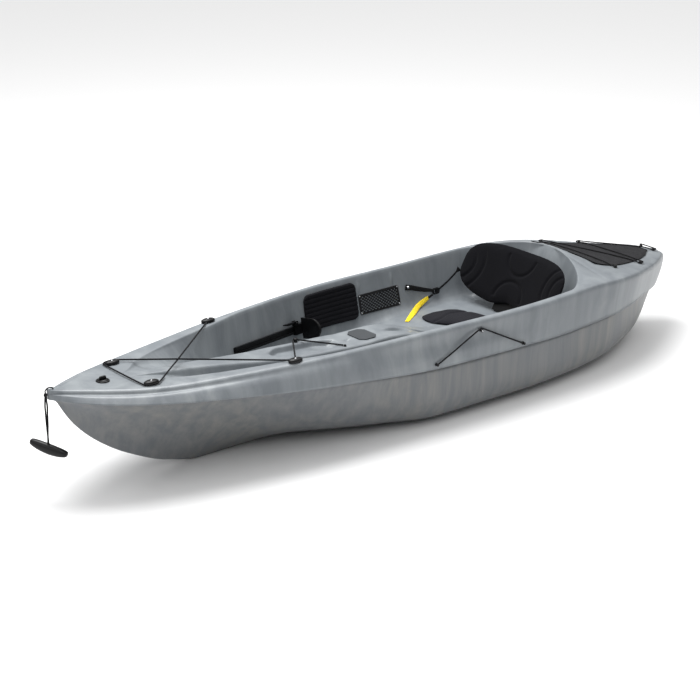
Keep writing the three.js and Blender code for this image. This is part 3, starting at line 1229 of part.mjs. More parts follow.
function sideKeeper() {
  const peg = sidePoint(PEG, SIDE_STANDOFF);
  const reach = PEG.radius + CORD / 2 + GAP;
  const over = [60, 80, 100, 120].map((angle) => new THREE.Vector3(
    peg.x + reach * Math.cos(angle * degrees), peg.y, peg.z + reach * Math.sin(angle * degrees)));
  const endAt = (place, near) => {
    const plug = sidePoint(place, SIDE_STANDOFF);
    return plug.addScaledVector(near.clone().sub(plug).normalize(), PLUG.radius + GAP);
  };
  const front = endAt(SIDE_FRONT, over[0]);
  const rear = endAt(SIDE_REAR, over[3]);
  const sag = (a, b, t) => {
    const p = a.clone().lerp(b, t);
    p.y = Math.max(p.y, sideBreadth(p.x, p.z) + SIDE_STANDOFF);
    return p;
  };
  return cord([front, sag(front, over[0], 0.33), sag(front, over[0], 0.66), ...over,
    sag(over[3], rear, 0.33), sag(over[3], rear, 0.66), rear]);
}
add('side_keeper_cord', sideKeeper(), elastic);

// Drain plug in its seat on the foredeck
const DRAIN = { seat: 25, seatHeight: 4, head: 17, headHeight: 5, shaft: 11.5, shaftLength: 18, grip: 9,
  gripHeight: 13 };
const drainZ = seatOn(DRAIN_X, 0, DRAIN.seat, DRAIN.seat);
add('drain_plug_seat', turned([[DRAIN.head + 2 * GAP, 0], [DRAIN.seat, 0],
  [DRAIN.seat - 1, DRAIN.seatHeight],
  [DRAIN.head + 2 * GAP, DRAIN.seatHeight], [DRAIN.head + 2 * GAP, 0]], 20),
    blackPlastic).position.set(DRAIN_X, 0, drainZ);
function drainPlug() {
  const head = turned([[0, -DRAIN.shaftLength], [DRAIN.shaft, -DRAIN.shaftLength], [DRAIN.shaft, 0],
    [DRAIN.head, 0],
    [DRAIN.head, DRAIN.headHeight], [0, DRAIN.headHeight]], 20);
  const grip = block(-DRAIN.head * 0.85, DRAIN.head * 0.85, -DRAIN.grip / 2, DRAIN.grip / 2,
    DRAIN.headHeight / 2, DRAIN.headHeight + DRAIN.gripHeight);
  return join(head, grip);
}
add('drain_plug', drainPlug(), blackPlastic).position.set(DRAIN_X, 0, drainZ + GAP);

// Bow carrying handle: loop and knot at the stem head, doubled cord and toggle below
const TOGGLE_CORD = 5;
const KNOT_RADIUS = 8;
const knotX = HALF + KNOT_RADIUS + 2 * GAP;
const KNOT_Z = upBoat(1.005);
const TOGGLE_DROP = 202;
const TOGGLE = { z: KNOT_Z - TOGGLE_DROP, length: 146, height: 34, depth: 26, bevel: 5, yaw: 0.52,
  pitch: 0.22 };
const deckAtHole = deckTop(BOW_HOLE_X, 0);
const loopTop = deckAtHole + TOGGLE_CORD;
function bowLoop() {
  const path = new THREE.CatmullRomCurve3([
    new THREE.Vector3(BOW_HOLE_X, 0, deckAtHole - OVERRUN),
    new THREE.Vector3(BOW_HOLE_X, 0, loopTop),
    new THREE.Vector3(lerp(BOW_HOLE_X, knotX, 0.5), 0, loopTop + TOGGLE_CORD),
    new THREE.Vector3(knotX, 0, loopTop - TOGGLE_CORD * 0.5),
    new THREE.Vector3(knotX, 0, KNOT_Z),
  ], false, 'centripetal');
  const knot = new THREE.SphereGeometry(KNOT_RADIUS, 10, 8).rotateX(Math.PI / 2).translate(knotX, 0,
    KNOT_Z);
  return join(cord(path.getPoints(12), TOGGLE_CORD), knot);
}
add('bow_cord_loop', bowLoop(), elastic);
const toggleTop = TOGGLE.z + TOGGLE.height / 2;
const STRAND_SPREAD = 2;
add('bow_toggle_cord', join(...[-1, 1].map((sign) => cord([
  new THREE.Vector3(knotX, sign * STRAND_SPREAD, KNOT_Z - KNOT_RADIUS - GAP),
  new THREE.Vector3(knotX, sign * STRAND_SPREAD, toggleTop + GAP * 5.5),
], TOGGLE_CORD))), elastic);
function toggle() {
  const half = TOGGLE.length / 2 - TOGGLE.bevel;
  const h = TOGGLE.height / 2 - TOGGLE.bevel;
  const shape = new THREE.Shape();
  shape.moveTo(-half, h);
  shape.lineTo(-half, h * 0.2);
  shape.quadraticCurveTo(-half * 0.7, -h, 0, -h * 1.1);
  shape.quadraticCurveTo(half * 0.7, -h, half, h * 0.2);
  shape.lineTo(half, h);
  const body = new THREE.ExtrudeGeometry(shape, {
    depth: TOGGLE.depth - 2 * TOGGLE.bevel, bevelThickness: TOGGLE.bevel, bevelSize: TOGGLE.bevel,
      bevelSegments: 2, curveSegments: 5,
  });
  return body.translate(0, 0, TOGGLE.bevel - TOGGLE.depth / 2).rotateX(Math.PI / 2);
}
const handle = add('bow_toggle', toggle(), blackPlastic);
handle.position.set(knotX, 0, TOGGLE.z);
handle.rotation.set(0, TOGGLE.pitch, Math.PI / 2 + TOGGLE.yaw, 'ZYX');

// Rear storage: mesh cover over the well, buttons along its edge and a cord zigzagging between them
const COVER = { from: alongBoat(-0.61877), to: alongBoat(-0.92454), thickness: 2, rest: 1.6 };
const buttonStationShares = [-0.678, -0.8, -0.952];
const buttonBreadthShares = [0.584, 0.482, 0.097];
const BUTTON = { radius: 8, height: 10 };
const WELL_CORD = 5;
const lidSection = (x, y) => {
  const u = x / HALF;
  let i = 0;
  while (i < deckStationShares.length - 2 && u > deckStationShares[i + 1]) i += 1;
  const t = (u - deckStationShares[i]) / (deckStationShares[i + 1] - deckStationShares[i]);
  return lerp(deckHeight(deckStationShares[i], y), deckHeight(deckStationShares[i + 1], y), t);
};
function wellCover() {
  const steps = 12;
  const across = 8;
  const loops = [];
  for (let i = 0; i <= steps; i += 1) {
    const x = lerp(COVER.to, COVER.from, i / steps);
    const breadth = coverBreadth(x / HALF);
    const upper = [];
    const lower = [];
    for (let j = 0; j <= across; j += 1) {
      const y = lerp(-breadth, breadth, j / across);
      const z = lidSection(x, y) + COVER.rest;
      upper.push(new THREE.Vector3(x, y, z + COVER.thickness));
      lower.push(new THREE.Vector3(x, y, z));
    }
    loops.push([...upper, ...lower.reverse()]);
  }
  return stripLoft(loops, across + 1);
}
// A lofted sheet whose ends are closed strip by strip
function stripLoft(loops, width) {
  const size = loops[0].length;
  const faces = [];
  for (let i = 0; i < loops.length - 1; i += 1) {
    for (let j = 0; j < size; j += 1) {
      const next = (j + 1) % size;
      faces.push([i * size + j, i * size + next, (i + 1) * size + next]);
      faces.push([i * size + j, (i + 1) * size + next, (i + 1) * size + j]);
    }
  }
  for (const [i, flip] of [[0, true], [loops.length - 1, false]]) {
    for (let j = 0; j < width - 1; j += 1) {
      const ring = [j, j + 1, size - 2 - j, size - 1 - j].map((k) => i * size + k);
      if (flip) ring.reverse();
      faces.push([ring[0], ring[1], ring[2]], [ring[0], ring[2], ring[3]]);
    }
  }
  return solidFrom(loops.flat(), faces);
}
add('tankwell_cover', wellCover(), netting);
const buttonPlaces = buttonStationShares.map((u, i) => [u * HALF, buttonBreadthShares[i] * HALF_BEAM]);
const buttonFoot = ([x, y]) => seatOn(x, y, BUTTON.radius, BUTTON.radius);
buttonPlaces.forEach((place, i) => {
  for (const [side, sign] of sides) {
    const button = turned([[0, 0], [BUTTON.radius, 0], [BUTTON.radius * 0.8, BUTTON.height],
      [0, BUTTON.height]], RIVET_SIDES);
    add(`tankwell_button_${side}_${i + 1}`,
      button.translate(place[0], sign * place[1], buttonFoot(place)), blackPlastic);
  }
});
const WELL_CORD_STEPS = 9;
function aroundButton(place, sign, from, to) {
  const reach = BUTTON.radius + WELL_CORD / 2 + 2 * GAP;
  const centre = new THREE.Vector3(place[0], sign * place[1], buttonFoot(place) + BUTTON.height / 2);
  return arc(centre, reach, reach, sign * from, sign * to, WRAP_STEPS);
}
function overCover(from, to) {
  const rest = COVER.rest + COVER.thickness + WELL_CORD / 2 + 2;
  const points = [];
  for (let i = 1; i < WELL_CORD_STEPS; i += 1) {
    const p = from.clone().lerp(to, i / WELL_CORD_STEPS);
    p.z = Math.max(p.z, lidSection(p.x, p.y) + rest);
    points.push(p);
  }
  return points;
}
function wellBungee() {
  const [front, middle, rear] = buttonPlaces;
  const turns = [
    aroundButton(front, 1, 45, 0), aroundButton(front, -1, 0, 180), aroundButton(middle, 1, 0, 180),
    aroundButton(middle, -1, 0, 180), aroundButton(rear, 1, 0, 180), aroundButton(rear, -1, 180, 135),
  ];
  const points = [...turns[0]];
  turns.slice(1).forEach((turn) => points.push(...overCover(points[points.length - 1], turn[0]), ...turn));
  return cord(points, WELL_CORD);
}
add('tankwell_bungee', wellBungee(), elastic);

export default kayak;
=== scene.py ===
# %% [markdown]
# # A ten-foot sit-inside fishing kayak
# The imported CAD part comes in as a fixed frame. This script gives it the looks: the two moulded
# halves of the boat with rounded edges, the stuffed seat, the webbing, the elastic cords and the finishes.

import math

import bmesh
import bpy
import numpy as np
from mathutils import Matrix, Vector


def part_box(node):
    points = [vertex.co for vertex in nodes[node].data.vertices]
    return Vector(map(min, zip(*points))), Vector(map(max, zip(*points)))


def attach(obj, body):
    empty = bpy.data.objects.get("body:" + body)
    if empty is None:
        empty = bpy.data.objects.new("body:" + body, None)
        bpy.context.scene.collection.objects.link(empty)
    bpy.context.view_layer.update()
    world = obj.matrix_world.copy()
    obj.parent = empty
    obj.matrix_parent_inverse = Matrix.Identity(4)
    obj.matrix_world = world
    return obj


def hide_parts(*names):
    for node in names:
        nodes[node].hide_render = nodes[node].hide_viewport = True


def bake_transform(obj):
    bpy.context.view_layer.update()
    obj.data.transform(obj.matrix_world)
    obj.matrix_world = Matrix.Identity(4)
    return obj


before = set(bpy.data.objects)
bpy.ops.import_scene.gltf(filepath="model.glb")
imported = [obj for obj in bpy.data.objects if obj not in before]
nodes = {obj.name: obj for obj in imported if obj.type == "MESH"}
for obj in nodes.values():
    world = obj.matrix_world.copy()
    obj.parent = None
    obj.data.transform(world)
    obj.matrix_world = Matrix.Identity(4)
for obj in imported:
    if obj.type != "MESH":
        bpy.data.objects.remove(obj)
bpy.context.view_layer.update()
MM = 0.001

# %% [markdown]
# ## The camera
# The boat is seen from its port bow, a little from above, through a long lens, so near and far parts
# keep almost the same scale. A small shift of the lens sets the boat in the frame.

# %% Camera
CAMERA_PLACE, LOOK_AT = Vector((4.952, 6.029, 3.117)), Vector((0, 0, 0.2))
SENSOR, LENS, SHIFT = 36, 109.03, (-0.0531, 0.0019)


def add_object(name, data):
    made = bpy.data.objects.new(name, data)
    bpy.context.collection.objects.link(made)
    return made


def aimed(name, data, place, target):
    """Adds a camera or a light that looks at a point."""
    made = add_object(name, data)
    made.location = place
    made.rotation_mode = "QUATERNION"
    made.rotation_quaternion = (Vector(target) - Vector(place)).to_track_quat("-Z", "Y")
    return made


camera_data = bpy.data.cameras.new("studio_camera")
camera_data.sensor_width, camera_data.lens = SENSOR, LENS
camera_data.shift_x, camera_data.shift_y = SHIFT
bpy.context.scene.camera = aimed("studio_camera", camera_data, CAMERA_PLACE, LOOK_AT)
print("camera", (LOOK_AT - CAMERA_PLACE).length, "m from the boat")

# %% [markdown]
# ## The lines plan
# A boat is drawn as a row of sections. Each measure of a section, such as its breadth or the height of
# its rim, is a table along the boat, and a batten, a curve that never overshoots its points, fairs it.
# The tables are shares of the half length, the half beam and the depth, so the whole plan scales.

# %% Sizes and the batten
LENGTH, BEAM, DEPTH = 3048, 760, 400
HALF, HALF_BEAM = LENGTH / 2, BEAM / 2
GAP = 0.3
SKIN = 5


def lerp(a, b, t):
    return a + (b - a) * t


def clamp(value, low=0.0, high=1.0):
    return min(high, max(low, value))


def end_slope(h0, h1, d0, d1):
    slope = ((2 * h0 + h1) * d0 - h0 * d1) / (h0 + h1)
    if slope * d0 <= 0:
        return 0.0
    return 3 * d0 if d0 * d1 < 0 and abs(slope) > 3 * abs(d0) else slope


def batten(stations, values):
    run = [b - a for a, b in zip(stations, stations[1:])]
    rise = [(b - a) / h for a, b, h in zip(values, values[1:], run)]
    slopes = [end_slope(run[0], run[1], rise[0], rise[1])]
    for i in range(1, len(run)):
        if rise[i - 1] * rise[i] <= 0:
            slopes.append(0.0)
            continue
        before, after = 2 * run[i] + run[i - 1], run[i] + 2 * run[i - 1]
        slopes.append((before + after) / (before / rise[i - 1] + after / rise[i]))
    slopes.append(end_slope(run[-1], run[-2], rise[-1], rise[-2]))

    def at(s):
        s = clamp(s, stations[0], stations[-1])
        i = max(0, min(len(run) - 1, int(np.searchsorted(stations, s, side="left")) - 1))
        t = (s - stations[i]) / run[i]
        return ((1 + 2 * t) * (1 - t) ** 2 * values[i] + t * (1 - t) ** 2 * run[i] * slopes[i]
                + t * t * (3 - 2 * t) * values[i + 1] + t * t * (t - 1) * run[i] * slopes[i + 1])
    return at


def table(unit, stations, shares):
    return batten(stations, [share * unit for share in shares])


print("the boat is", LENGTH, "by", BEAM, "by", DEPTH, "mm")

# %% Tables of the hull and of the outside of the deck
BEAM_STATIONS = [-1, -0.985, -0.96, -0.93, -0.88, -0.8, -0.7, -0.6, -0.3, 0, 0.3, 0.6, 0.8, 0.93, 1]
seam_breadth = table(HALF_BEAM, BEAM_STATIONS, [
    0.07, 0.13, 0.19, 0.26, 0.38, 0.54, 0.74, 0.868, 1, 0.997, 0.945, 0.76, 0.558, 0.297, 0.026])
gunwale_breadth = table(HALF_BEAM, BEAM_STATIONS, [
    0.06, 0.14, 0.22, 0.31, 0.44, 0.62, 0.81, 0.915, 0.995, 0.971, 0.871, 0.653, 0.44, 0.176, 0.02])
seam_height = table(DEPTH, [-1, -0.66, -0.33, 0, 0.33, 0.66, 1],
                    [0.4925, 0.58, 0.5975, 0.625, 0.72, 0.8275, 0.96])
gunwale_height = table(
    DEPTH, [-1, -0.98, -0.95, -0.88, -0.8, -0.72, -0.62, -0.5, -0.25, 0.05, 0.4, 0.7, 1],
    [0.75, 0.79, 0.82, 0.845, 0.885, 0.93, 0.975, 1.005, 0.9925, 1.0075, 0.99, 0.98, 1.0475])
keel_height = table(DEPTH, [-1, -0.93, -0.8, 0.6, 0.7, 0.8, 0.88, 0.95, 1],
                    [0.637, 0.225, 0, 0, 0.072, 0.231, 0.415, 0.662, 0.963])
keel_flat = batten([-1, -0.5, 0, 0.2, 0.35, 0.5, 0.7, 1],
                   [0.299, 0.3, 0.3, 0.172, 0.036, 0.03, 0.047, 0.057])
BILGE_STATIONS = [-1, -0.8, -0.5, -0.2, 0, 0.15, 0.3, 0.45, 0.6, 0.8, 1]
bilge_breadth = batten(
    BILGE_STATIONS, [0.687, 0.965, 0.969, 0.97, 0.967, 0.849, 0.715, 0.575, 0.478, 0.39, 0.301])
bilge_height = batten(
    BILGE_STATIONS, [0.389, 0.214, 0.029, 0.01, 0.022, 0.11, 0.208, 0.378, 0.489, 0.558, 0.614])
crown_height = table(
    DEPTH, [-1, -0.98, -0.95, -0.92, -0.8, -0.69, -0.64, -0.6,
            -0.571, -0.525, -0.43, -0.33, 0.7, 0.85, 0.92, 1],
    [0.76, 0.8, 0.83, 0.85, 0.905, 0.975, 1.03, 1.1, 1.145, 1.14, 1.04, 1.01, 0.98, 0.99, 1.005, 1.05])
print("seam from", round(seam_height(-1)), "mm at the stern to", round(seam_height(1)), "mm at the bow")

# %% Tables of the cockpit, the console and the rear well
OPENING_FRONT, OPENING_REAR, OPENING_ARC = 0.794, -0.571, -0.433
OPENING_ARC_POWER = 1.7
NARROW_RIM, FAN, DECK_SPREAD = 0.09, 0.06, 0.84
TRAY_HALF, TRAY_DEEP, WELL_DEEP, SIDE_DEEP = 57, 24, 55, 13
rim_breadth = batten([-0.433, 0.131, 0.328, 0.43, 0.525, 0.62, 0.719, 0.755, 0.794],
                     [0.926, 0.925, 0.9, 0.83, 0.783, 0.71, 0.53, 0.33, 0.14])
floor_height = table(
    DEPTH, [-0.571, -0.558, -0.545, -0.518, -0.498, -0.472, -0.459, -0.44, -0.217, -0.131, -0.072, -0.026,
            0.026, 0.079, 0.197, 0.315, 0.38, 0.446, 0.512, 0.59, 0.656, 0.722, 0.794],
    [1.145, 1.04, 0.91, 0.69, 0.6, 0.57, 0.545, 0.52, 0.52, 0.5, 0.4625, 0.375,
     0.27, 0.23, 0.22, 0.23, 0.3, 0.475, 0.645, 0.79, 0.875, 0.94, 0.982])
CONSOLE_REAR = -0.217
console_height = table(
    DEPTH, [CONSOLE_REAR, -0.164, -0.098, -0.039, 0, 0.04, 0.13, 0.164, 0.295, 0.394, 0.525, 0.656, 0.794],
    [0.52, 0.555, 0.63, 0.7025, 0.7325, 0.745, 0.745, 0.755, 0.785, 0.82, 0.885, 0.945, 0.982])
console_breadth = table(
    HALF_BEAM, [-0.571, -0.459, -0.217, -0.131, -0.04, 0, 0.197, 0.328, 0.427, 0.525, 0.656, 0.794],
    [0.1, 0.237, 0.237, 0.21, 0.19, 0.21, 0.221, 0.21, 0.163, 0.118, 0.08, 0.03])
tray_breadth = table(TRAY_HALF, [0.165, 0.185, 0.225, 0.32, 0.378], [0.45, 0.62, 1, 1, 0.08])
tray_depth = table(TRAY_DEEP, [0.165, 0.185, 0.345, 0.378], [0, 1, 1, 0])
well_depth = table(WELL_DEEP, [-0.9, -0.86, -0.67, -0.64], [0, 1, 1, 0])
cover_breadth = table(HALF_BEAM, [-1, -0.925, -0.886, -0.8, -0.678, -0.619],
                      [0.04, 0.095, 0.224, 0.395, 0.513, 0.492])
side_hollow = table(SIDE_DEEP, [-0.3, -0.05, 0.3], [0, 1, 0])
print("cockpit runs from", OPENING_REAR * HALF, "to", OPENING_FRONT * HALF, "mm")

# %% Half sections
SHOULDER_DROP, SHOULDER_RUN, CREST_RUN = 18, 5, 16
LIP_RUN, LIP_DROP, WALL_DRAFT, WALL_DRAFT_SHARE = 5, 12, 45, 0.3
FOOT_RISE, FOOT_RUN, CORNER_DROP = 28, 22, 0.15
HULL_CLEARANCE = 22
COVER_LAP = 22
BILGE_TANGENT = 0.55
STERN_RAKE, STERN_RAKE_SHARE, STERN_POWER = 45, 0.12, 1.6
HULL_BOW_INSET, HULL_STERN_INSET = 23, 44
HULL_SHARE, KEEL_ROOM, RAKE_ROUNDS = 0.97, 6, 8
SIDE_LOW, SIDE_HIGH, SIDE_SWELL = 0.3, 0.62, 3
CONSOLE_SHARE, CONSOLE_FOOT, CONSOLE_DRAFT, CONSOLE_REACH = 0.4, 4, 0.12, 0.6
TRAY_NARROW, TRAY_WIDE, TRAY_WALL, TRAY_WALL_SHARE = 0.3, 0.8, 8, 0.4
CREST, LIP, SHELF = 5, 7, 9


def stern_rake(u):
    return STERN_RAKE * clamp((-u - (1 - STERN_RAKE_SHARE)) / STERN_RAKE_SHARE) ** 2


def hull_length(u):
    return HALF - (HULL_STERN_INSET if u < 0 else HULL_BOW_INSET)


def hull_rim_height(u):
    x = u * hull_length(u)
    deck_share = x / HALF
    for _ in range(RAKE_ROUNDS):
        deck_share = max(-1, (x - stern_rake(deck_share)) / HALF)
    return seam_height(deck_share) - GAP


def hull_half_section(u, steps=4):
    """Rim, bilge curve and keel of the hull, as (y, z) pairs in millimetres."""
    breadth, top = HULL_SHARE * seam_breadth(u), hull_rim_height(u)
    keel = min(keel_height(u), top - KEEL_ROOM)
    flat = keel_flat(u) * breadth
    corner = (bilge_breadth(u) * breadth, lerp(keel, top, bilge_height(u)))
    start = (lerp(corner[0], breadth, BILGE_TANGENT), lerp(corner[1], top, BILGE_TANGENT))
    end = (lerp(corner[0], flat, BILGE_TANGENT), lerp(corner[1], keel, BILGE_TANGENT))
    rows = [(breadth, top)]
    for step in range(steps + 1):
        t = step / steps
        a, b, c = (1 - t) ** 2, 2 * t * (1 - t), t * t
        rows.append(tuple(a * start[k] + b * corner[k] + c * end[k] for k in (0, 1)))
    return rows + [(flat, keel), (0, keel)]


def hull_half_breadth(u, z):
    rows = hull_half_section(u)
    for (y0, z0), (y1, z1) in zip(rows, rows[1:]):
        if z1 <= z <= z0 and z0 > z1:
            return lerp(y0, y1, (z0 - z) / (z0 - z1))
    return rows[0][0]


def deck_height(u, y):
    share = min(1, abs(y) / gunwale_breadth(u))
    return lerp(crown_height(u), gunwale_height(u), share * share)


def in_cockpit(u):
    return OPENING_REAR <= u <= OPENING_FRONT


def rim_at(u):
    edge, narrow = gunwale_breadth(u), NARROW_RIM * HALF_BEAM
    if not in_cockpit(u):
        away = u - OPENING_FRONT if u > 0 else OPENING_REAR - u
        spread = max(cover_breadth(u) - COVER_LAP, cover_breadth(u) / 2) if u < 0 else edge * DECK_SPREAD
        return lerp(min(narrow, spread), spread, clamp(away / FAN))
    open_breadth = rim_breadth(u) * edge
    if u > OPENING_ARC:
        return open_breadth
    t = (OPENING_ARC - u) / (OPENING_ARC - OPENING_REAR)
    return max(narrow, open_breadth * (1 - t ** OPENING_ARC_POWER) ** (1 / OPENING_ARC_POWER))


def floor_at(u):
    return floor_height(u) if in_cockpit(u) else deck_height(u, 0) - (well_depth(u) if u < 0 else 0)


def console_at(u):
    return max(console_height(u), floor_at(u)) if in_cockpit(u) and u > CONSOLE_REAR else floor_at(u)


def deck_half_section(u):
    """Fifteen corners of the deck from its seam to the centreline, as (y, z) pairs in millimetres."""
    seam, gun = (seam_breadth(u), seam_height(u)), (gunwale_breadth(u), gunwale_height(u))
    low, high = ([lerp(a, b, t) for a, b in zip(seam, gun)] for t in (SIDE_LOW, SIDE_HIGH))
    edge = min(1, gun[0] / (CREST_RUN * 3))
    swollen = SIDE_SWELL * edge
    rows = [seam, (low[0] + swollen, low[1]), (high[0] + swollen - side_hollow(u), high[1]),
            (gun[0], gun[1] - SHOULDER_DROP), (gun[0] - SHOULDER_RUN * edge, gun[1] - SHOULDER_RUN),
            (gun[0] - CREST_RUN * edge, gun[1])]
    rim = min(rim_at(u), gun[0] - (CREST_RUN + LIP_RUN) * edge)
    rim_z = deck_height(u, rim)
    floor_z = min(floor_at(u), rim_z)
    drop = rim_z - floor_z
    narrowness = min(1, rim / (WALL_DRAFT / WALL_DRAFT_SHARE))
    foot_z = floor_z + min(FOOT_RISE, CORNER_DROP * drop)
    foot_y = rim - WALL_DRAFT * narrowness * clamp(drop / (2 * FOOT_RISE), 0.5, 1)
    if in_cockpit(u):
        foot_y = min(foot_y, hull_half_breadth(u, foot_z) - HULL_CLEARANCE)
    console_z, console_y = console_at(u), min(console_breadth(u), CONSOLE_SHARE * rim)
    shelf_y = foot_y - FOOT_RUN * narrowness
    if in_cockpit(u):
        shelf_y = min(shelf_y, hull_half_breadth(u, floor_z - SKIN) - HULL_CLEARANCE)
    console_out = (CONSOLE_FOOT + CONSOLE_DRAFT * (console_z - floor_z)) * narrowness
    console_foot = min(console_y + console_out, lerp(console_y, shelf_y, CONSOLE_REACH))
    rows += [(rim, rim_z), (rim - LIP_RUN * narrowness, rim_z - min(LIP_DROP, CORNER_DROP * drop)),
             (foot_y, foot_z), (shelf_y, floor_z), (console_foot, floor_z), (console_y, console_z)]
    tray_y = clamp(tray_breadth(u), console_y * TRAY_NARROW, console_y * TRAY_WIDE)
    tray_z = console_z - tray_depth(u)
    tray_foot = tray_y - min(TRAY_WALL, tray_y * TRAY_WALL_SHARE)
    return rows + [(tray_y, console_z), (tray_foot, tray_z), (0, tray_z)]


print("midship section has", len(deck_half_section(0)), "corners")

# %% [markdown]
# ## Where fittings sit
# The CAD part is lofted straight between its stations, and every fitting sits on that surface.
# These readings repeat it, so cords, straps and pads land on the fittings of the frame.

# %% Readings of the moulded deck
DECK_STATIONS = [
    -1, -0.985, -0.96, -0.93, -0.9, -0.87, -0.8, -0.72, -0.67, -0.635, -0.6, -0.571, -0.563, -0.55,
    -0.535, -0.517, -0.497, -0.472, -0.44, -0.37, -0.3, -0.217, -0.15, -0.09, -0.04, 0.026, 0.1,
    0.165, 0.185, 0.225, 0.27, 0.32, 0.35, 0.38, 0.44, 0.512, 0.59, 0.656, 0.719, 0.76, 0.794,
    0.83, 0.87, 0.92, 0.96, 0.985, 1]
deck_sections = [deck_half_section(u) for u in DECK_STATIONS]


def station_span(x):
    u = clamp(x / HALF, -1, 1)
    i = 0
    while i < len(DECK_STATIONS) - 2 and u > DECK_STATIONS[i + 1]:
        i += 1
    return i, (u - DECK_STATIONS[i]) / (DECK_STATIONS[i + 1] - DECK_STATIONS[i])


def section_at(x):
    i, t = station_span(x)
    return [(lerp(a[0], b[0], t), lerp(a[1], b[1], t)) for a, b in zip(*deck_sections[i:i + 2])]


def deck_top(x, y):
    rows, breadth = section_at(x), abs(y)
    for (y0, z0), (y1, z1) in zip(rows[CREST:], rows[CREST + 1:]):
        if y1 <= breadth <= y0:
            return max(z0, z1) if y0 == y1 else lerp(z0, z1, (y0 - breadth) / (y0 - y1))
    return rows[CREST][1]


def seat_on(x, y, reach_x, reach_y):
    shares = (-1, -0.5, 0, 0.5, 1)
    return GAP + max(deck_top(x + a * reach_x, y + b * reach_y) for a in shares for b in shares)


def crossing(rows, z):
    for (y0, z0), (y1, z1) in zip(rows, rows[1:]):
        if (z - z0) * (z - z1) <= 0 and z0 != z1:
            return lerp(y0, y1, (z - z0) / (z1 - z0))
    return rows[0][0]


def wall_breadth(x, z):
    return crossing(section_at(x)[LIP:SHELF + 1], z)


def side_breadth(x, z):
    return crossing(section_at(x)[:CREST], z)


print("cockpit wall stands", round(wall_breadth(0, 300)), "mm from the centre")

# %% [markdown]
# ## Making meshes
# Most pieces here are rows of points joined into faces: a grid for a sheet, a closed tube for a cord
# or strap, and a turned profile for a button. One maker for each keeps the faces even and closed.

# %% Mesh makers
SIDES = (("port", 1), ("starboard", -1))
WELD = 2e-5


def change_mesh(mesh, change):
    shaped = bmesh.new()
    shaped.from_mesh(mesh)
    change(shaped)
    shaped.to_mesh(mesh)
    shaped.free()


def put(name, points, faces, material, body, smooth=True):
    """Makes an object from points in millimetres, and lets it ride on a body of the frame."""
    mesh = bpy.data.meshes.new(name)
    mesh.from_pydata([tuple(c * MM for c in p) for p in points], [], faces)
    change_mesh(mesh, lambda shaped: bmesh.ops.remove_doubles(shaped, verts=shaped.verts, dist=WELD))
    mesh.validate()
    if smooth:
        mesh.shade_smooth()
    mesh.materials.append(material)
    piece = add_object(name, mesh)
    if body:
        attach(piece, body)
    return piece


def dress(piece, node_name=None):
    """Hides the node of the frame that a piece stands for, if any."""
    if node_name:
        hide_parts(node_name)
    return piece


def grid_faces(rows, columns, around=False, flip=False):
    faces = []
    for i in range(rows - 1):
        for j in range(columns if around else columns - 1):
            here, there, k = i * columns, (i + 1) * columns, (j + 1) % columns
            face = [here + j, there + j, there + k, here + k]
            faces.append(face[::-1] if flip else face)
    return faces


def tube(loops):
    """Points and faces of a closed tube through loops of equal length."""
    size = len(loops[0])
    faces = grid_faces(len(loops), size, around=True)
    faces.append(list(range(size)))
    faces.append(list(range((len(loops) - 1) * size, len(loops) * size))[::-1])
    return [p for loop in loops for p in loop], faces


def outward(piece):
    """Turns the faces of a closed piece outwards."""
    change_mesh(piece.data, lambda shaped: bmesh.ops.recalc_face_normals(shaped, faces=shaped.faces))
    return piece


def turned_points(profile, centre, axis="z", across=1.0, sides=40):
    """A profile of (radius, height) turned about z or y; across squeezes it into an oval."""
    loops = []
    for radius, height in profile:
        loop = []
        for k in range(sides):
            angle = 2 * math.pi * k / sides
            a, b = radius * math.cos(angle), radius * across * math.sin(angle)
            loop.append((centre[0] + a, centre[1] + b, centre[2] + height) if axis == "z"
                        else (centre[0] + a, centre[1] + height, centre[2] + b))
        loops.append(loop)
    return tube(loops)


def turned(name, profile, centre, material, slot, body="boat", node_name=None, **shape):
    """A turned fitting: its profile stands on a centre, in millimetres."""
    piece = outward(put(name, *turned_points(profile, centre, **shape), material, body))
    return dress(piece, node_name)


def merged(parts):
    points, faces = [], []
    for more_points, more_faces in parts:
        faces += [[k + len(points) for k in face] for face in more_faces]
        points += more_points
    return points, faces


def between(p, q, t, start, end):
    return p * ((end - t) / (end - start)) + q * ((t - start) / (end - start))


def smooth_line(points, steps=8):
    """A centripetal curve through points, sampled evenly enough for a tube."""
    p = [Vector(q) for q in points]
    p = [p[0] * 2 - p[1], *p, p[-1] * 2 - p[-2]]
    line = []
    for a, b, c, d in zip(p, p[1:], p[2:], p[3:]):
        t0 = 0.0
        t1 = t0 + max(1e-6, (b - a).length ** 0.5)
        t2 = t1 + max(1e-6, (c - b).length ** 0.5)
        t3 = t2 + max(1e-6, (d - c).length ** 0.5)
        for s in range(steps):
            t = lerp(t1, t2, s / steps)
            ab, bc, cd = between(a, b, t, t0, t1), between(b, c, t, t1, t2), between(c, d, t, t2, t3)
            line.append(between(between(ab, bc, t, t0, t2), between(bc, cd, t, t1, t3), t, t1, t2))
    return line + [p[-2]]


print("makers of grids, tubes and turned forms are ready")

# %% [markdown]
# ## Shader effects
# Marbled resin, the grain of a mould, a woven face: each effect serves several finishes, so each is a
# node group with named values. A group gives masks and heights only. The surface shader, with its
# gloss, stays in each material.


# %% Node helpers
def node(tree, kind, values=None, **settings):
    made = tree.nodes.new(kind)
    for key, value in settings.items():
        setattr(made, key, value)
    for socket, value in (values or {}).items():
        if isinstance(value, bpy.types.NodeSocket):
            tree.links.new(value, made.inputs[socket])
        else:
            made.inputs[socket].default_value = value
    return made


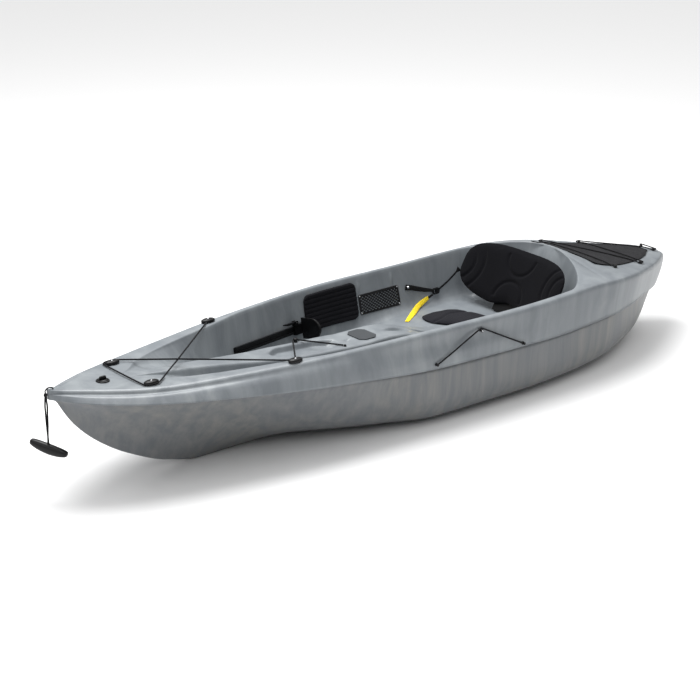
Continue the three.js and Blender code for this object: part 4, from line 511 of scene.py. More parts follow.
def effect(name, inputs, outputs):
    """An empty node group with float or vector inputs, and its two ends."""
    tree = bpy.data.node_groups.new(name, "ShaderNodeTree")
    for label, value in inputs.items():
        kind = "NodeSocketFloat" if isinstance(value, (int, float)) else "NodeSocketVector"
        socket = tree.interface.new_socket(name=label, in_out="INPUT", socket_type=kind)
        socket.default_value = value
    for label in outputs:
        tree.interface.new_socket(name=label, in_out="OUTPUT", socket_type="NodeSocketFloat")
    return tree, tree.nodes.new("NodeGroupInput").outputs, tree.nodes.new("NodeGroupOutput")


def maths(tree, operation, *values):
    return node(tree, "ShaderNodeMath", dict(enumerate(values)), operation=operation).outputs[0]


def vector_maths(tree, operation, values):
    return node(tree, "ShaderNodeVectorMath", values, operation=operation).outputs[0]


print("node helpers are ready")

# %% Marbled resin: streaks drawn out by the moulding, and clouds of pigment
marbling, given, result = effect(
    "marbled_resin", {"Across": 18.0, "Along": 2.0, "Swirl": 0.05, "Cloud": 2.5}, ["Streaks", "Clouds"])
where = node(marbling, "ShaderNodeTexCoord").outputs["Object"]
swirl = node(marbling, "ShaderNodeTexNoise", {"Vector": where, "Scale": 3.0, "Detail": 2.0})
moved = vector_maths(marbling, "SUBTRACT", {0: swirl.outputs["Color"], 1: (0.5, 0.5, 0.5)})
moved = vector_maths(marbling, "SCALE", {0: moved, "Scale": given["Swirl"]})
bent = vector_maths(marbling, "ADD", {0: where, 1: moved})
stretch = node(marbling, "ShaderNodeCombineXYZ",
               {0: given["Across"], 1: given["Across"], 2: given["Along"]})
drawn = vector_maths(marbling, "MULTIPLY", {0: bent, 1: stretch.outputs[0]})
for label, low, high, texture in (
        ("Streaks", 0.36, 0.66,
         {"Vector": drawn, "Scale": 1.0, "Detail": 6.0, "Roughness": 0.62, "Distortion": 0.25}),
        ("Clouds", 0.32, 0.68,
         {"Vector": bent, "Scale": given["Cloud"], "Detail": 3.0, "Roughness": 0.55})):
    noise = node(marbling, "ShaderNodeTexNoise", texture).outputs[0]
    spread = node(marbling, "ShaderNodeMapRange", {"Value": noise, "From Min": low, "From Max": high})
    marbling.links.new(spread.outputs[0], result.inputs[label])
print(marbling.name, "has", len(marbling.nodes), "nodes")

# %% Mould grain: fine pits, and broad patches that change the gloss
grain, given, result = effect("mould_grain", {"Size": 900.0, "Patch": 6.0}, ["Height", "Patches"])
where = node(grain, "ShaderNodeTexCoord").outputs["Object"]
for label, scale, detail in (("Height", "Size", 2.0), ("Patches", "Patch", 4.0)):
    noise = node(grain, "ShaderNodeTexNoise", {"Vector": where, "Scale": given[scale], "Detail": detail})
    grain.links.new(noise.outputs[0], result.inputs[label])
print(grain.name, "has", len(grain.nodes), "nodes")

# %% Woven face: threads that go over and under each other
weave, given, result = effect("woven_face", {"Vector": (0.0, 0.0, 0.0), "Threads": 800.0}, ["Height"])
split = node(weave, "ShaderNodeSeparateXYZ", {0: given["Vector"]})
lines, cells = [], []
for axis in (0, 1):
    count = maths(weave, "MULTIPLY", split.outputs[axis], given["Threads"])
    lines.append(maths(weave, "ABSOLUTE", maths(weave, "SINE", maths(weave, "MULTIPLY", count, math.pi))))
    cells.append(maths(weave, "FLOOR", count))
parity = maths(weave, "ABSOLUTE", maths(weave, "MODULO", maths(weave, "ADD", *cells), 2.0))
over = node(weave, "ShaderNodeMix", {"Factor": parity, "A": lines[0], "B": lines[1]})
weave.links.new(over.outputs[0], result.inputs["Height"])
print("effects:", ", ".join(group.name for group in (marbling, grain, weave)))

# %% [markdown]
# ## Finishes
# The boat is moulded from pigmented polyethylene: satin, pale blue-grey on the deck, darker and more
# brushed below the seam. Fittings are black moulded plastic, and everything soft is matte black.


# %% A finish and its surface shader
def srgb(red, green, blue):
    def linear(c):
        c /= 255
        return c / 12.92 if c <= 0.04045 else ((c + 0.055) / 1.055) ** 2.4
    return (linear(red), linear(green), linear(blue), 1.0)


def finish(name, **constants):
    material = bpy.data.materials.new(name)
    material.use_nodes = True
    tree = material.node_tree
    shader = tree.nodes["Principled BSDF"]
    for socket, value in constants.items():
        shader.inputs[socket.replace("_", " ")].default_value = value
    return material, tree, shader


def use(tree, group, values):
    return node(tree, "ShaderNodeGroup", values, node_tree=group).outputs


def blend_colours(tree, share, first, second):
    """A mix of two colours, which are inputs 6 and 7 of its node; output 2 is the mixed colour."""
    return node(tree, "ShaderNodeMix", {0: share, 6: first, 7: second}, data_type="RGBA").outputs[2]


def span(tree, value, low, high):
    return node(tree, "ShaderNodeMapRange", {"Value": value, "To Min": low, "To Max": high}).outputs[0]


def roughen(tree, shader, height, strength, depth):
    bump = node(tree, "ShaderNodeBump", {"Height": height, "Strength": strength, "Distance": depth})
    tree.links.new(bump.outputs[0], shader.inputs["Normal"])


print("finish helpers are ready")

# %% Resin of the deck and of the hull
STREAK_STRENGTH = 0.85
RESIN_PIT, RESIN_PATCH, RESIN_BUMP = 420.0, 5.0, (0.12, 0.0006)


def moulded_resin(name, light, middle, dark, streak, gloss):
    """Marbled polyethylene: dark streaks and pale clouds over a middle tone."""
    material, tree, shader = finish(name, Specular_IOR_Level=0.42)
    marble = use(tree, marbling, streak)
    body = blend_colours(tree, span(tree, marble["Clouds"], 0.0, 1.0), middle, light)
    body = blend_colours(tree, span(tree, marble["Streaks"], STREAK_STRENGTH, 0.0), body, dark)
    tree.links.new(body, shader.inputs["Base Color"])
    skin = use(tree, grain, {"Size": RESIN_PIT, "Patch": RESIN_PATCH})
    tree.links.new(span(tree, skin["Patches"], *gloss), shader.inputs["Roughness"])
    roughen(tree, shader, skin["Height"], *RESIN_BUMP)
    return material


deck_resin = moulded_resin(
    "deck_resin", srgb(137, 142, 145), srgb(124, 129, 133), srgb(109, 114, 119),
    {"Across": 13.0, "Along": 1.1, "Swirl": 0.14, "Cloud": 1.6}, (0.28, 0.42))
hull_resin = moulded_resin(
    "hull_resin", srgb(126, 126, 123), srgb(115, 118, 121), srgb(99, 103, 108),
    {"Across": 24.0, "Along": 0.8, "Swirl": 0.05, "Cloud": 2.0}, (0.32, 0.48))
print("two resins made:", deck_resin.name, "and", hull_resin.name)


# %% Moulded fittings, elastic, webbing and the other finishes
def moulded_fitting(name, low, high, gloss, pit=700.0):
    material, tree, shader = finish(name, Specular_IOR_Level=0.25)
    skin = use(tree, grain, {"Size": pit, "Patch": 30.0})
    colour = blend_colours(tree, skin["Patches"], low, high)
    tree.links.new(colour, shader.inputs["Base Color"])
    tree.links.new(span(tree, skin["Patches"], *gloss), shader.inputs["Roughness"])
    roughen(tree, shader, skin["Height"], 0.35, 0.0004)
    return material


def woven(name, low, high, threads, depth, sheen, axes=None):
    """Cloth or webbing; its weave lies in two axes of the piece or, without axes, on the map of a strip."""
    material, tree, shader = finish(
        name, Roughness=0.92, Specular_IOR_Level=0.08, Sheen_Weight=sheen, Sheen_Roughness=0.5)
    if axes:
        part = node(tree, "ShaderNodeSeparateXYZ", {0: node(tree, "ShaderNodeTexCoord").outputs["Object"]})
        flat = {k: part.outputs[axis] for k, axis in enumerate(axes)}
        place = node(tree, "ShaderNodeCombineXYZ", flat).outputs[0]
    else:
        place = node(tree, "ShaderNodeUVMap", uv_map="strip").outputs[0]
    cloth = use(tree, weave, {"Vector": place, "Threads": threads})
    skin = use(tree, grain, {"Size": 260.0, "Patch": 14.0})
    # The base colour runs from low in the gaps between threads to high on their crowns: painted shade
    # between the threads, its strength varied in random patches.
    shade = maths(tree, "MULTIPLY", cloth["Height"], span(tree, skin["Patches"], 0.6, 1.2))
    tree.links.new(blend_colours(tree, shade, low, high), shader.inputs["Base Color"])
    roughen(tree, shader, cloth["Height"], 0.5, depth)
    return material


black_moulding = moulded_fitting("black_moulding", srgb(7, 7, 8), srgb(16, 16, 18), (0.26, 0.45))
grey_moulding = moulded_fitting("grey_moulding", srgb(50, 53, 56), srgb(66, 69, 72), (0.5, 0.7))
pale_foam = moulded_fitting("pale_foam", srgb(222, 220, 212), srgb(240, 239, 232), (0.85, 0.95), pit=160.0)
seat_cloth = woven("seat_cloth", srgb(15, 15, 18), srgb(38, 38, 43), 620.0, 0.0004, 0.04, (0, 1))
back_cloth = woven("back_cloth", srgb(6, 6, 8), srgb(18, 18, 22), 620.0, 0.0004, 0.02, (1, 2))
ribbed_foam = woven("ribbed_foam", srgb(10, 10, 12), srgb(28, 28, 32), 900.0, 0.0003, 0.02, (0, 2))
black_webbing = woven("black_webbing", srgb(12, 12, 13), srgb(38, 38, 40), 560.0, 0.0006, 0.05)
yellow_webbing = woven("yellow_webbing", srgb(214, 178, 18), srgb(250, 224, 62), 560.0, 0.0006, 0.05)
elastic_cover = woven("elastic_cover", srgb(8, 8, 9), srgb(36, 36, 38), 700.0, 0.0005, 0.04)
well_mesh = woven("well_mesh", srgb(10, 10, 11), srgb(54, 54, 56), 260.0, 0.0012, 0.02, (0, 1))
net_cord = woven("net_cord", srgb(12, 12, 13), srgb(32, 32, 34), 700.0, 0.0004, 0.03, (0, 2))

rivet_steel, tree, shader = finish("rivet_steel", Metallic=1.0)
skin = use(tree, grain, {"Size": 1500.0, "Patch": 90.0})
steel_tone = blend_colours(tree, skin["Patches"], srgb(176, 178, 182), srgb(220, 221, 224))
tree.links.new(steel_tone, shader.inputs["Base Color"])
tree.links.new(span(tree, skin["Patches"], 0.22, 0.4), shader.inputs["Roughness"])
print(len(bpy.data.materials), "finishes")

# %% [markdown]
# ## Cords and straps
# The deck carries elastic cords in a braided cover, and a carrying cord hangs from the bow. A cord could
# be a curve with a bevel, but a mesh tube can hold a map of its own. Here one maker carries a closed
# outline along a route, and its map runs along and around, so a braid or a weave follows the piece.


# %% One maker for cords and straps
def round_outline(diameter, sides=12):
    angles = [2 * math.pi * k / sides for k in range(sides)]
    return [(diameter / 2 * math.cos(a), diameter / 2 * math.sin(a)) for a in angles]


def strap_outline(width, thickness):
    a, b = width / 2, thickness / 2
    half = [(a, 0.4 * b), (a - 0.5 * b, b), (a / 3, b), (-a / 3, b), (0.5 * b - a, b), (-a, 0.4 * b)]
    return half + [(-x, -y) for x, y in half]


def map_strip(piece, outline, along_at, braided):
    around_at = [0.0]
    for (x0, y0), (x1, y1) in zip(outline, outline[1:] + outline[:1]):
        around_at.append(around_at[-1] + math.hypot(x1 - x0, y1 - y0) * MM)
    layer = piece.data.uv_layers.new(name="strip")
    for k, face in enumerate(piece.data.polygons):
        row, column = divmod(k, len(outline))
        if row >= len(along_at) - 1:
            continue
        for corner, loop in enumerate(face.loop_indices):
            a, b = along_at[row + (corner in (1, 2))], around_at[column + (corner in (2, 3))]
            layer.data[loop].uv = (a + b, a - b) if braided else (a, b)


def strip(name, route, outline, material, body, across=None, braided=False, steps=6, widen=None):
    """Carries an outline of (side, up) millimetres along a route; across turns a strap's width."""
    line = smooth_line(route, steps)
    last, side, loops, along_at = len(line) - 1, Vector((0, 0, 1)), [], [0.0]
    for i, point in enumerate(line):
        along = (line[min(i + 1, last)] - line[max(i - 1, 0)]).normalized()
        if across:
            side = Vector(across(i / last))
        elif i == 0 and abs(along.z) > 0.9:
            side = Vector((1, 0, 0))
        side = (side - along * side.dot(along)).normalized()
        up, wide = along.cross(side), widen(i / last) if widen else 1
        loops.append([tuple(point + side * (a * wide) + up * b) for a, b in outline])
        if i:
            along_at.append(along_at[-1] + (point - line[i - 1]).length * MM)
    piece = put(name, *tube(loops), material, body)
    map_strip(piece, outline, along_at, braided)
    return outward(piece), line


def braid(name, route, diameter, body="boat", steps=6):
    """A round cord in its braided cover."""
    return strip(name, route, round_outline(diameter), elastic_cover, body, braided=True, steps=steps)


# %% [markdown]
# ### Elastic cords of the deck
# Each elastic cord goes round its guides and hooks at their side, a cord's radius clear of them. The
# crossing cords on the foredeck pass over each other in the middle. They are held at both ends, so they
# are taut, and they lie where the fittings of the frame are.

# %% Routes round guides, posts and buttons
CORD = 6
GUIDE_LENGTH, GUIDE_WIDTH, GUIDE_WAIST = 60, 34, 5.1
TURN_X, TURN_Y, TURN_ANGLE = 34.2, 21.2, 128
GUIDE_ROOM, GUIDE_SIDE_ROOM, CROSSING_LIFT = 1.2, 1.8, 3.6


def foot_of(node_name, axis="z"):
    """Middle of a fitting's foot, in millimetres; the foot is its lowest face along its axis."""
    low, high = (Vector(corner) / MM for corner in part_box(node_name))
    middle = (low + high) / 2
    return Vector((middle.x, middle.y, low.z)) if axis == "z" else Vector((middle.x, low.y, middle.z))


def arc(centre, reach_x, reach_y, first, last, steps=10):
    return [centre + Vector((reach_x * math.cos(a), reach_y * math.sin(a), 0))
            for a in np.radians(np.linspace(first, last, steps + 1))]


def guide(place, side):
    return foot_of(f"{place}_guide_{side}") + Vector((0, 0, GUIDE_WAIST))


def from_guide(start, target):
    """Where a cord leaves a guide's side on its way to a target."""
    way = Vector((target.x - start.x, target.y - start.y, 0)).normalized()
    reach = 1 / math.hypot(way.x / (GUIDE_LENGTH / 2), way.y / (GUIDE_WIDTH / 2))
    return start + way * (reach + GUIDE_ROOM + abs(way.y) * GUIDE_SIDE_ROOM)


def over_middle(start, end, lift):
    top = start.lerp(end, abs(start.y) / (abs(start.y) + abs(end.y))) + Vector((0, 0, lift))
    return [start.lerp(top, 0.6), start.lerp(top, 0.9), top, top.lerp(end, 0.1), top.lerp(end, 0.4)]


def elastic_cord(name, node_name, route, diameter=CORD):
    piece, line = braid(name, route, diameter)
    dress(piece, node_name)


# %% Crossing cord of the foredeck
rounds = [arc(guide("bow", "starboard"), TURN_X, TURN_Y, -TURN_ANGLE, 0),
          arc(guide("bow", "port"), TURN_X, TURN_Y, 0, TURN_ANGLE)]
from_port = from_guide(guide("mid", "port"), rounds[0][0])
to_starboard = from_guide(guide("mid", "starboard"), rounds[1][-1])
elastic_cord("foredeck_elastic", "bow_bungee", [
    from_port, *over_middle(from_port, rounds[0][0], CROSSING_LIFT), *rounds[0], *rounds[1],
    *over_middle(rounds[1][-1], to_starboard, -CROSSING_LIFT), to_starboard])

# %% Front paddle keeper: from the port guide round a post on the console to its end
POST_WAIST, POST_TURN, GROMMET_WAIST, GROMMET_REACH = 6.3, 9.45, 3.5, 6.3
post_middle = foot_of("front_keeper_post") + Vector((0, 0, POST_WAIST))
grommet_middle = foot_of("front_keeper_grommet") + Vector((0, 0, GROMMET_WAIST))
round_post = arc(post_middle, POST_TURN, POST_TURN, -37, -137, 6)
keeper_start = from_guide(guide("mid", "port"), round_post[0])
keeper_end = grommet_middle - (grommet_middle - round_post[-1]).normalized() * GROMMET_REACH
elastic_cord("console_keeper_elastic", "front_keeper_cord", [
    keeper_start, keeper_start.lerp(round_post[0], 0.5), *round_post,
    round_post[-1].lerp(keeper_end, 0.5), keeper_end])

# %% Side paddle keeper: between two plugs, held up by a peg under the rim
STANDOFF, PEG_TURN, PLUG_REACH = 8, 9.3, 6.8


def beside(x, z):
    return Vector((x, side_breadth(x, z) + STANDOFF, z))


def middle_of(node_name):
    foot = foot_of(node_name, "y")
    return beside(foot.x, foot.z)


def along_side(start, end, share):
    point = start.lerp(end, share)
    point.y = max(point.y, beside(point.x, point.z).y)
    return point


peg = middle_of("side_keeper_peg")
over_peg = [peg + Vector((PEG_TURN * math.cos(a), 0, PEG_TURN * math.sin(a)))
            for a in np.radians([60, 80, 100, 120])]
ends = [middle_of(f"side_keeper_plug_{place}") for place in ("front", "rear")]
ends = [end + (near - end).normalized() * PLUG_REACH for end, near in zip(ends, (over_peg[0], over_peg[3]))]
elastic_cord("side_keeper_elastic", "side_keeper_cord", [
    ends[0], *(along_side(ends[0], over_peg[0], share) for share in (0.33, 0.66)), *over_peg,
    *(along_side(over_peg[3], ends[1], share) for share in (0.33, 0.66)), ends[1]])

# %% Lacing of the rear well: one cord that zigzags between six buttons
WELL_CORD, BUTTON_WAIST, BUTTON_TURN, COVER_CLEAR = 5, 5, 11.1, 8.1


def lid_height(x, y):
    i, t = station_span(x)
    return lerp(deck_height(DECK_STATIONS[i], y), deck_height(DECK_STATIONS[i + 1], y), t)


def round_button(number, side, first, last):
    sign = dict(SIDES)[side]
    middle = foot_of(f"tankwell_button_{side}_{number}") + Vector((0, 0, BUTTON_WAIST))
    return arc(middle, BUTTON_TURN, BUTTON_TURN, sign * first, sign * last, 6)


def over_cover(start, end):
    points = [start.lerp(end, i / 9) for i in range(1, 9)]
    for point in points:
        point.z = max(point.z, lid_height(point.x, point.y) + COVER_CLEAR)
    return points


turns = [round_button(*turn) for turn in (
    (1, "port", 45, 0), (1, "starboard", 0, 180), (2, "port", 0, 180), (2, "starboard", 0, 180),
    (3, "port", 0, 180), (3, "starboard", 180, 135))]
lacing = list(turns[0])
for turn in turns[1:]:
    lacing += [*over_cover(lacing[-1], turn[0]), *turn]
elastic_cord("well_elastic", "tankwell_bungee", lacing, WELL_CORD)

# %% [markdown]
# ### Carrying cord at the bow
# A cord loops through the stem head and is knotted. Below the knot its two strands twist round each
# other down to the toggle. The knot is a closed trefoil, the simplest knotted curve, pulled small.

# %% Carrying toggle: a bar with a flat top and a round belly, drilled for its cord
TOGGLE_HALF, TOGGLE_DEEP = 73, 15
TOGGLE_TOP, TOGGLE_AXIS, TOGGLE_TIP, TOGGLE_BELLY = 18, 3, -9, -20
HANG_X, TOGGLE_Z, KNOT_Z = 1532.6, 200, 402
TOGGLE_YAW, TOGGLE_ROLL = math.pi / 2 + 0.52, 0.22
toggle_turn = Matrix.Rotation(TOGGLE_YAW, 3, "Z") @ Matrix.Rotation(TOGGLE_ROLL, 3, "Y")
toggle_place = Vector((HANG_X, 0, TOGGLE_Z))
loops = []
for a in np.linspace(-math.pi / 2, math.pi / 2, 45):
    x = math.sin(a)
    end = math.cos(a) ** 0.25 if abs(x) < 1 else 0.05
    top, belly = TOGGLE_TOP - 4 * (1 - end), lerp(TOGGLE_TIP, TOGGLE_BELLY, (1 - abs(x) ** 2.2))
    high, low = lerp(TOGGLE_AXIS, top, end), lerp(TOGGLE_AXIS, belly, end)
    loop = []
    for b in np.linspace(0, 2 * math.pi, 28, endpoint=False):
        c, s = math.cos(b), math.sin(b)
        across = TOGGLE_DEEP * end * math.copysign(abs(c) ** 0.8, c)
        up = (high + low) / 2 + (high - low) / 2 * math.copysign(abs(s) ** 0.7, s)
        loop.append(tuple(toggle_turn @ Vector((x * TOGGLE_HALF, across, up)) + toggle_place))
    loops.append(loop)
toggle = outward(put("carrying_toggle", *tube(loops), black_moulding, "bow_handle"))
dress(toggle, "bow_toggle")
collar = turned(
    "toggle_collar", [(3.6, 13), (7.4, 13.6), (7.4, 16.6), (6.4, 18.6), (5.6, 18.8), (5.2, 17.6)],
    toggle_place, black_moulding, "black_plastic", "bow_handle")
print("toggle ready:", 2 * TOGGLE_HALF, "mm wide")

# %% Loop, knot and hanging strands
BOW_CORD, KNOT_CORD, KNOT_REACH, KNOT_TALL = 5, 4.2, 1.75, 4.0
HOLE_X = 1503
STRAND, STRAND_TOP, STRAND_FOOT, STRAND_TURNS = 6, 398.5, 214.5, 0.5
STRAND_APART, STRAND_BOW, STRAND_BOW_END = 3.05, 1.2, 0.4
hole_top = deck_top(HOLE_X, 0)
loop, loop_line = braid("stem_loop", [
    (HOLE_X, 0, hole_top - 10), (HOLE_X, 0, hole_top + 5), (lerp(HOLE_X, HANG_X, 0.5), 0, hole_top + 10),
    (HANG_X, 0, hole_top + 2.5), (HANG_X, 0, KNOT_Z + 6)], BOW_CORD)
trefoil = []
for t in np.linspace(0, 2 * math.pi, 49):
    trefoil.append((HANG_X + KNOT_REACH * (math.cos(t) - 2 * math.cos(2 * t)),
                    KNOT_REACH * (math.sin(t) + 2 * math.sin(2 * t)), KNOT_Z - KNOT_TALL * math.sin(3 * t)))
stem_knot, _ = braid("stem_knot", trefoil, KNOT_CORD, steps=2)
dress(loop, "bow_cord_loop")
dress(stem_knot)
for side, sign in SIDES:
    route = []
    for t in np.linspace(0, 1, 31):
        angle = math.pi / 2 * sign + 2 * math.pi * STRAND_TURNS * t
        apart = STRAND_APART + STRAND_BOW * math.sin(math.pi * clamp(t / STRAND_BOW_END)) ** 2
        route.append((HANG_X + apart * math.cos(angle), apart * math.sin(angle),
                      lerp(STRAND_TOP, STRAND_FOOT, t)))
    strand, line = braid(f"toggle_strand_{side}", route, STRAND, "bow_handle", steps=3)
    dress(strand, "bow_toggle_cord")

# %% [markdown]
# ### Straps of the seat
# Flat webbing runs from an anchor on the cockpit wall to a buckle, and on to the wing of the seat back.
# Its free tail, in yellow so the hand finds it, hangs down in a curve and ends on the floor. Webbing is
# too thin for a cloth simulation, so it is laid along listed points.

# %% Webbing on the wall, to the back, and the yellow tail
ANCHOR, BUCKLE, WING = Vector((-364, 0, 303)), Vector((-508, 0, 262)), Vector((-622, 300, 322))
anchor_y = wall_breadth(ANCHOR.x, ANCHOR.z)
buckle_y = wall_breadth(BUCKLE.x, BUCKLE.z) - 12
BUCKLE_HALF, TAIL_WIDE, NARROW = 17, 22, (9, 2.2)


def webbing(name, side, points, size, node_name=None, material=black_webbing, slot="webbing",
            body="boat", **shape):
    """A strap on one side, by its route on the port side; its size is its width and thickness."""
    route = [(x, dict(SIDES)[side] * y, z) for x, y, z in points]
    piece, line = strip(f"{name}_{side}", route, strap_outline(*size), material, body, **shape)
    return dress(piece, node_name and f"{node_name}_{side}"), line


def upright(_):
    return (0, 0, 1)


for side, sign in SIDES:
    webbing("anchor_webbing", side, [
        (ANCHOR.x + 6, anchor_y - 4.6, ANCHOR.z + 1), (ANCHOR.x - 10, anchor_y - 4.6, ANCHOR.z - 2),
        (lerp(ANCHOR.x, BUCKLE.x, 0.5), lerp(anchor_y, buckle_y, 0.5) - 8.4, lerp(ANCHOR.z, BUCKLE.z, 0.5)),
        (BUCKLE.x + BUCKLE_HALF + 0.9, buckle_y - 1, BUCKLE.z + 6)],
        (24, 2.4), "strap_anchor", across=upright, widen=lambda t: 1 - 0.45 * t * t)
    back_strap, _ = webbing("back_webbing", side, [
        (BUCKLE.x - BUCKLE_HALF - 1.9, buckle_y, BUCKLE.z + 5),
        (lerp(BUCKLE.x, WING.x, 0.6), lerp(buckle_y, WING.y, 0.6), lerp(BUCKLE.z, WING.z, 0.5)),
        (WING.x, WING.y, WING.z), (WING.x - 13, WING.y - 5, WING.z + 12)],
        NARROW, "seat_strap", body=None, across=upright, steps=12,
        widen=lambda t: 1 + 2.1 * clamp((t - 0.62) / 0.38) ** 1.3)
    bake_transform(back_strap)
    tail, line = webbing("yellow_tail", side, [
        (-462, 294, 243.4), (-405, 284, 226.5), (-340, 246, 215.5),
        (-268, 200, seat_on(-268, 200, 11, 11) + 2.4)],
        (TAIL_WIDE, 2), "strap_tail", yellow_webbing, "yellow_webbing", steps=12,
        across=lambda t, sign=sign: (0, sign * (0.25 + 0.75 * t), 1 - t),
        widen=lambda t: 0.5 + 0.5 * math.sin(math.pi * clamp(0.08 + 0.84 * t)) ** 0.5)
    webbing("tail_lead", side, [
        (BUCKLE.x + 21, buckle_y - 5, BUCKLE.z - 11), (-474, 294.4, 247), (-458, 293.8, 242.2)],
        NARROW, across=lambda t, sign=sign: (0, sign * 0.25, 1))

# %% [markdown]
# ## The two moulded halves
# A rotomoulded boat has no sharp edge anywhere. The CAD shells are lofted between a few stations with
# plain corners. Here the same lines plan is drawn at some three hundred stations, and every corner of
# each section is eased with a short curve, so the rim, the tub and the console roll over as resin does.

# %% Easing the corners of a section
EASE_STEPS, EASE_SHARE = 4, 0.48
DECK_EASE = (0, 14, 22, 7, 6, 9, 6, 8, 26, 18, 7, 11, 7, 6, 0)
DECK_FILL = (1, 2, 1, 0, 0, 2, 0, 7, 1, 6, 2, 5, 1, 3)


def eased(rows, reach, fill=None):
    """Rows with a curve at each corner and fill points on each straight; also each point's corner."""
    out, corners = [tuple(rows[0])], [0]
    for k in range(1, len(rows)):
        turn = [Vector(rows[k])]
        if k < len(rows) - 1:
            before, corner, after = (Vector(rows[i]) for i in (k - 1, k, k + 1))
            back, on = before - corner, after - corner
            start, end = (corner + leg.normalized() * min(reach[k], EASE_SHARE * leg.length)
                          for leg in (back, on))
            turn = [start * (1 - t) ** 2 + corner * (2 * t * (1 - t)) + end * t * t
                    for t in np.linspace(0, 1, EASE_STEPS + 1)]
        count = fill[k - 1] if fill else 0
        straight = [Vector(out[-1]).lerp(turn[0], i / (count + 1)) for i in range(1, count + 1)]
        out += [tuple(p) for p in straight + turn]
        corners += [k] * (len(straight) + len(turn))
    return out, corners


def ring(half, place):
    whole = half + [(-y, z) for y, z in half[-2::-1]]
    return [(place(z), y, z) for y, z in whole]


print("corners of the deck's half section:", len(DECK_EASE))

# %% [markdown]
# ### Relief of the deck
# Small moulded forms that the lines plan leaves out: two almond hollows and a round dimple on the
# console, and upright ribs high on the cockpit wall, where the real skin is stiffened.

# %% Hollows of the console and ribs of the wall
HOLLOWS = ((-48, 6, 68, 27, 15), (-186, 0, 62, 24, 13), (206, 8, 15, 13, 8))
RIB_PLACES, RIB_LOW, RIB_TOP, RIB_OUT, RIB_WIDE = (-120, -296), 330, 388, 4.5, 6
RIB_STEPS, RIB_FADE_LOW, RIB_FADE_TOP = (-12, -8, -5, -2, 0, 2, 5, 8, 12), 14, 8
HOLLOW_EDGE = 2.6
WALL = 8


def hollow(x, y):
    """How deep the deck is pressed in; a hollow is its place, its two reaches and its depth."""
    depth = 0.0
    for cx, cy, a, b, deep in HOLLOWS:
        away = ((x - cx) / a) ** 2 + (abs(y - cy) / b) ** 1.4
        depth = max(depth, deep * clamp((1 - away) * HOLLOW_EDGE))
    return depth


def wall_rib(x, z):
    fade = clamp((z - RIB_LOW) / RIB_FADE_LOW) * clamp((RIB_TOP - z) / RIB_FADE_TOP)
    return RIB_OUT * fade * max(math.exp(-((x - place) / RIB_WIDE) ** 2) for place in RIB_PLACES)


print(len(HOLLOWS), "hollows,", len(RIB_PLACES), "pairs of wall ribs")

# %% Deck
DRAWN_SKIN = 4.5


def deck_ring(u):
    low, high = seam_height(u), gunwale_height(u)
    rake = stern_rake(u)
    half, corners = eased(deck_half_section(u), DECK_EASE, DECK_FILL)
    half = [(y - (wall_rib(u * HALF, z) if corner == WALL else 0), z)
            for (y, z), corner in zip(half, corners)]
    points = ring(half, lambda z: u * HALF + rake * (1 - clamp((z - low) / (high - low))) ** STERN_POWER)
    return [(x, y, z - hollow(x, y)) for x, y, z in points]


def moulded_half(name, rings, material, flip, node_name):
    """One half of the boat through its rings, closed at both ends and given a wall inwards."""
    columns = len(rings[0])
    faces = grid_faces(len(rings), columns, flip=flip)
    last = (len(rings) - 1) * columns
    faces += [list(range(columns)), list(range(last, last + columns))]
    piece = outward(put(name, [p for r in rings for p in r], faces, material, "boat"))
    wall = piece.modifiers.new("wall", "SOLIDIFY")
    wall.thickness, wall.offset = DRAWN_SKIN * MM, -1
    return dress(piece, node_name)


opening_arc = [lerp(OPENING_ARC, OPENING_REAR, 1 - (1 - s) ** 2) for s in np.linspace(0, 1, 41)]
rib_stations = [(place + step) / HALF for place in RIB_PLACES for step in RIB_STEPS]
all_stations = [*np.linspace(-1, 1, 261), *opening_arc, *rib_stations, *DECK_STATIONS]
deck_stations = sorted({round(float(u), 5) for u in all_stations})
deck = moulded_half("deck", [deck_ring(u) for u in deck_stations], deck_resin, True, "deck_shell")
print("deck:", len(deck_stations), "stations,", len(deck.data.polygons), "faces")


# %% Hull, with a shadow groove where the deck's flange ends
GROOVE_DEEP, GROOVE_HIGH, GROOVE_LIP, GROOVE_SHARE = 6, 5, 2, 0.35
BILGE_STEPS = 14
HULL_EASE = [0] + [1.5] * 4 + [8] + [2] * (BILGE_STEPS - 1) + [10, 12, 0]


def hull_ring(u):
    """A ring of the hull; where the side is too low for the groove, its four rows lie evenly."""
    x = u * hull_length(u)
    rim, *rest = hull_half_section(u, BILGE_STEPS)
    high = seam_height(u) - 1
    low = high - GROOVE_HIGH
    room = min(rim[1] - high, low - rest[0][1]) - GROOVE_LIP - 1
    deep = min(GROOVE_DEEP, GROOVE_SHARE * rim[0]) * clamp(room / GROOVE_DEEP)
    heights = [high + GROOVE_LIP, high, low, low - GROOVE_LIP]
    if room <= 0:
        heights = [lerp(rim[1], rest[0][1], t) for t in (0.2, 0.4, 0.6, 0.8)]
    side = [lerp(rim[0], rest[0][0], (rim[1] - z) / (rim[1] - rest[0][1])) for z in heights]
    cut_side = [(y - cut, z) for y, cut, z in zip(side, (0, deep, deep, 0), heights)]
    return ring(eased([rim] + cut_side + rest, HULL_EASE)[0], lambda z: x)


hull_stations = [round(float(u), 5) for u in np.linspace(-1, 1, 241)]
hull = moulded_half("hull", [hull_ring(u) for u in hull_stations], hull_resin, False, "hull_shell")
print("hull:", len(hull_stations), "stations,", len(hull.data.polygons), "faces")

# %% [markdown]
# ## Seat
# The seat pad is a moulded cushion in a recess of the floor, and the seat back is a tall pad that wraps
# the sitter. Both are crowned forms with channels pressed in. A filled cover is best found by
# simulation: the form starts a little slack, its mesh is made even, and pressure swells it. The
# channels come afterwards, because an even mesh would wipe them out.


# %% Swelling a pad
SWELL_PRESSURE, SWELL_CAP, SWELL_FRAMES = 4, 4, 20


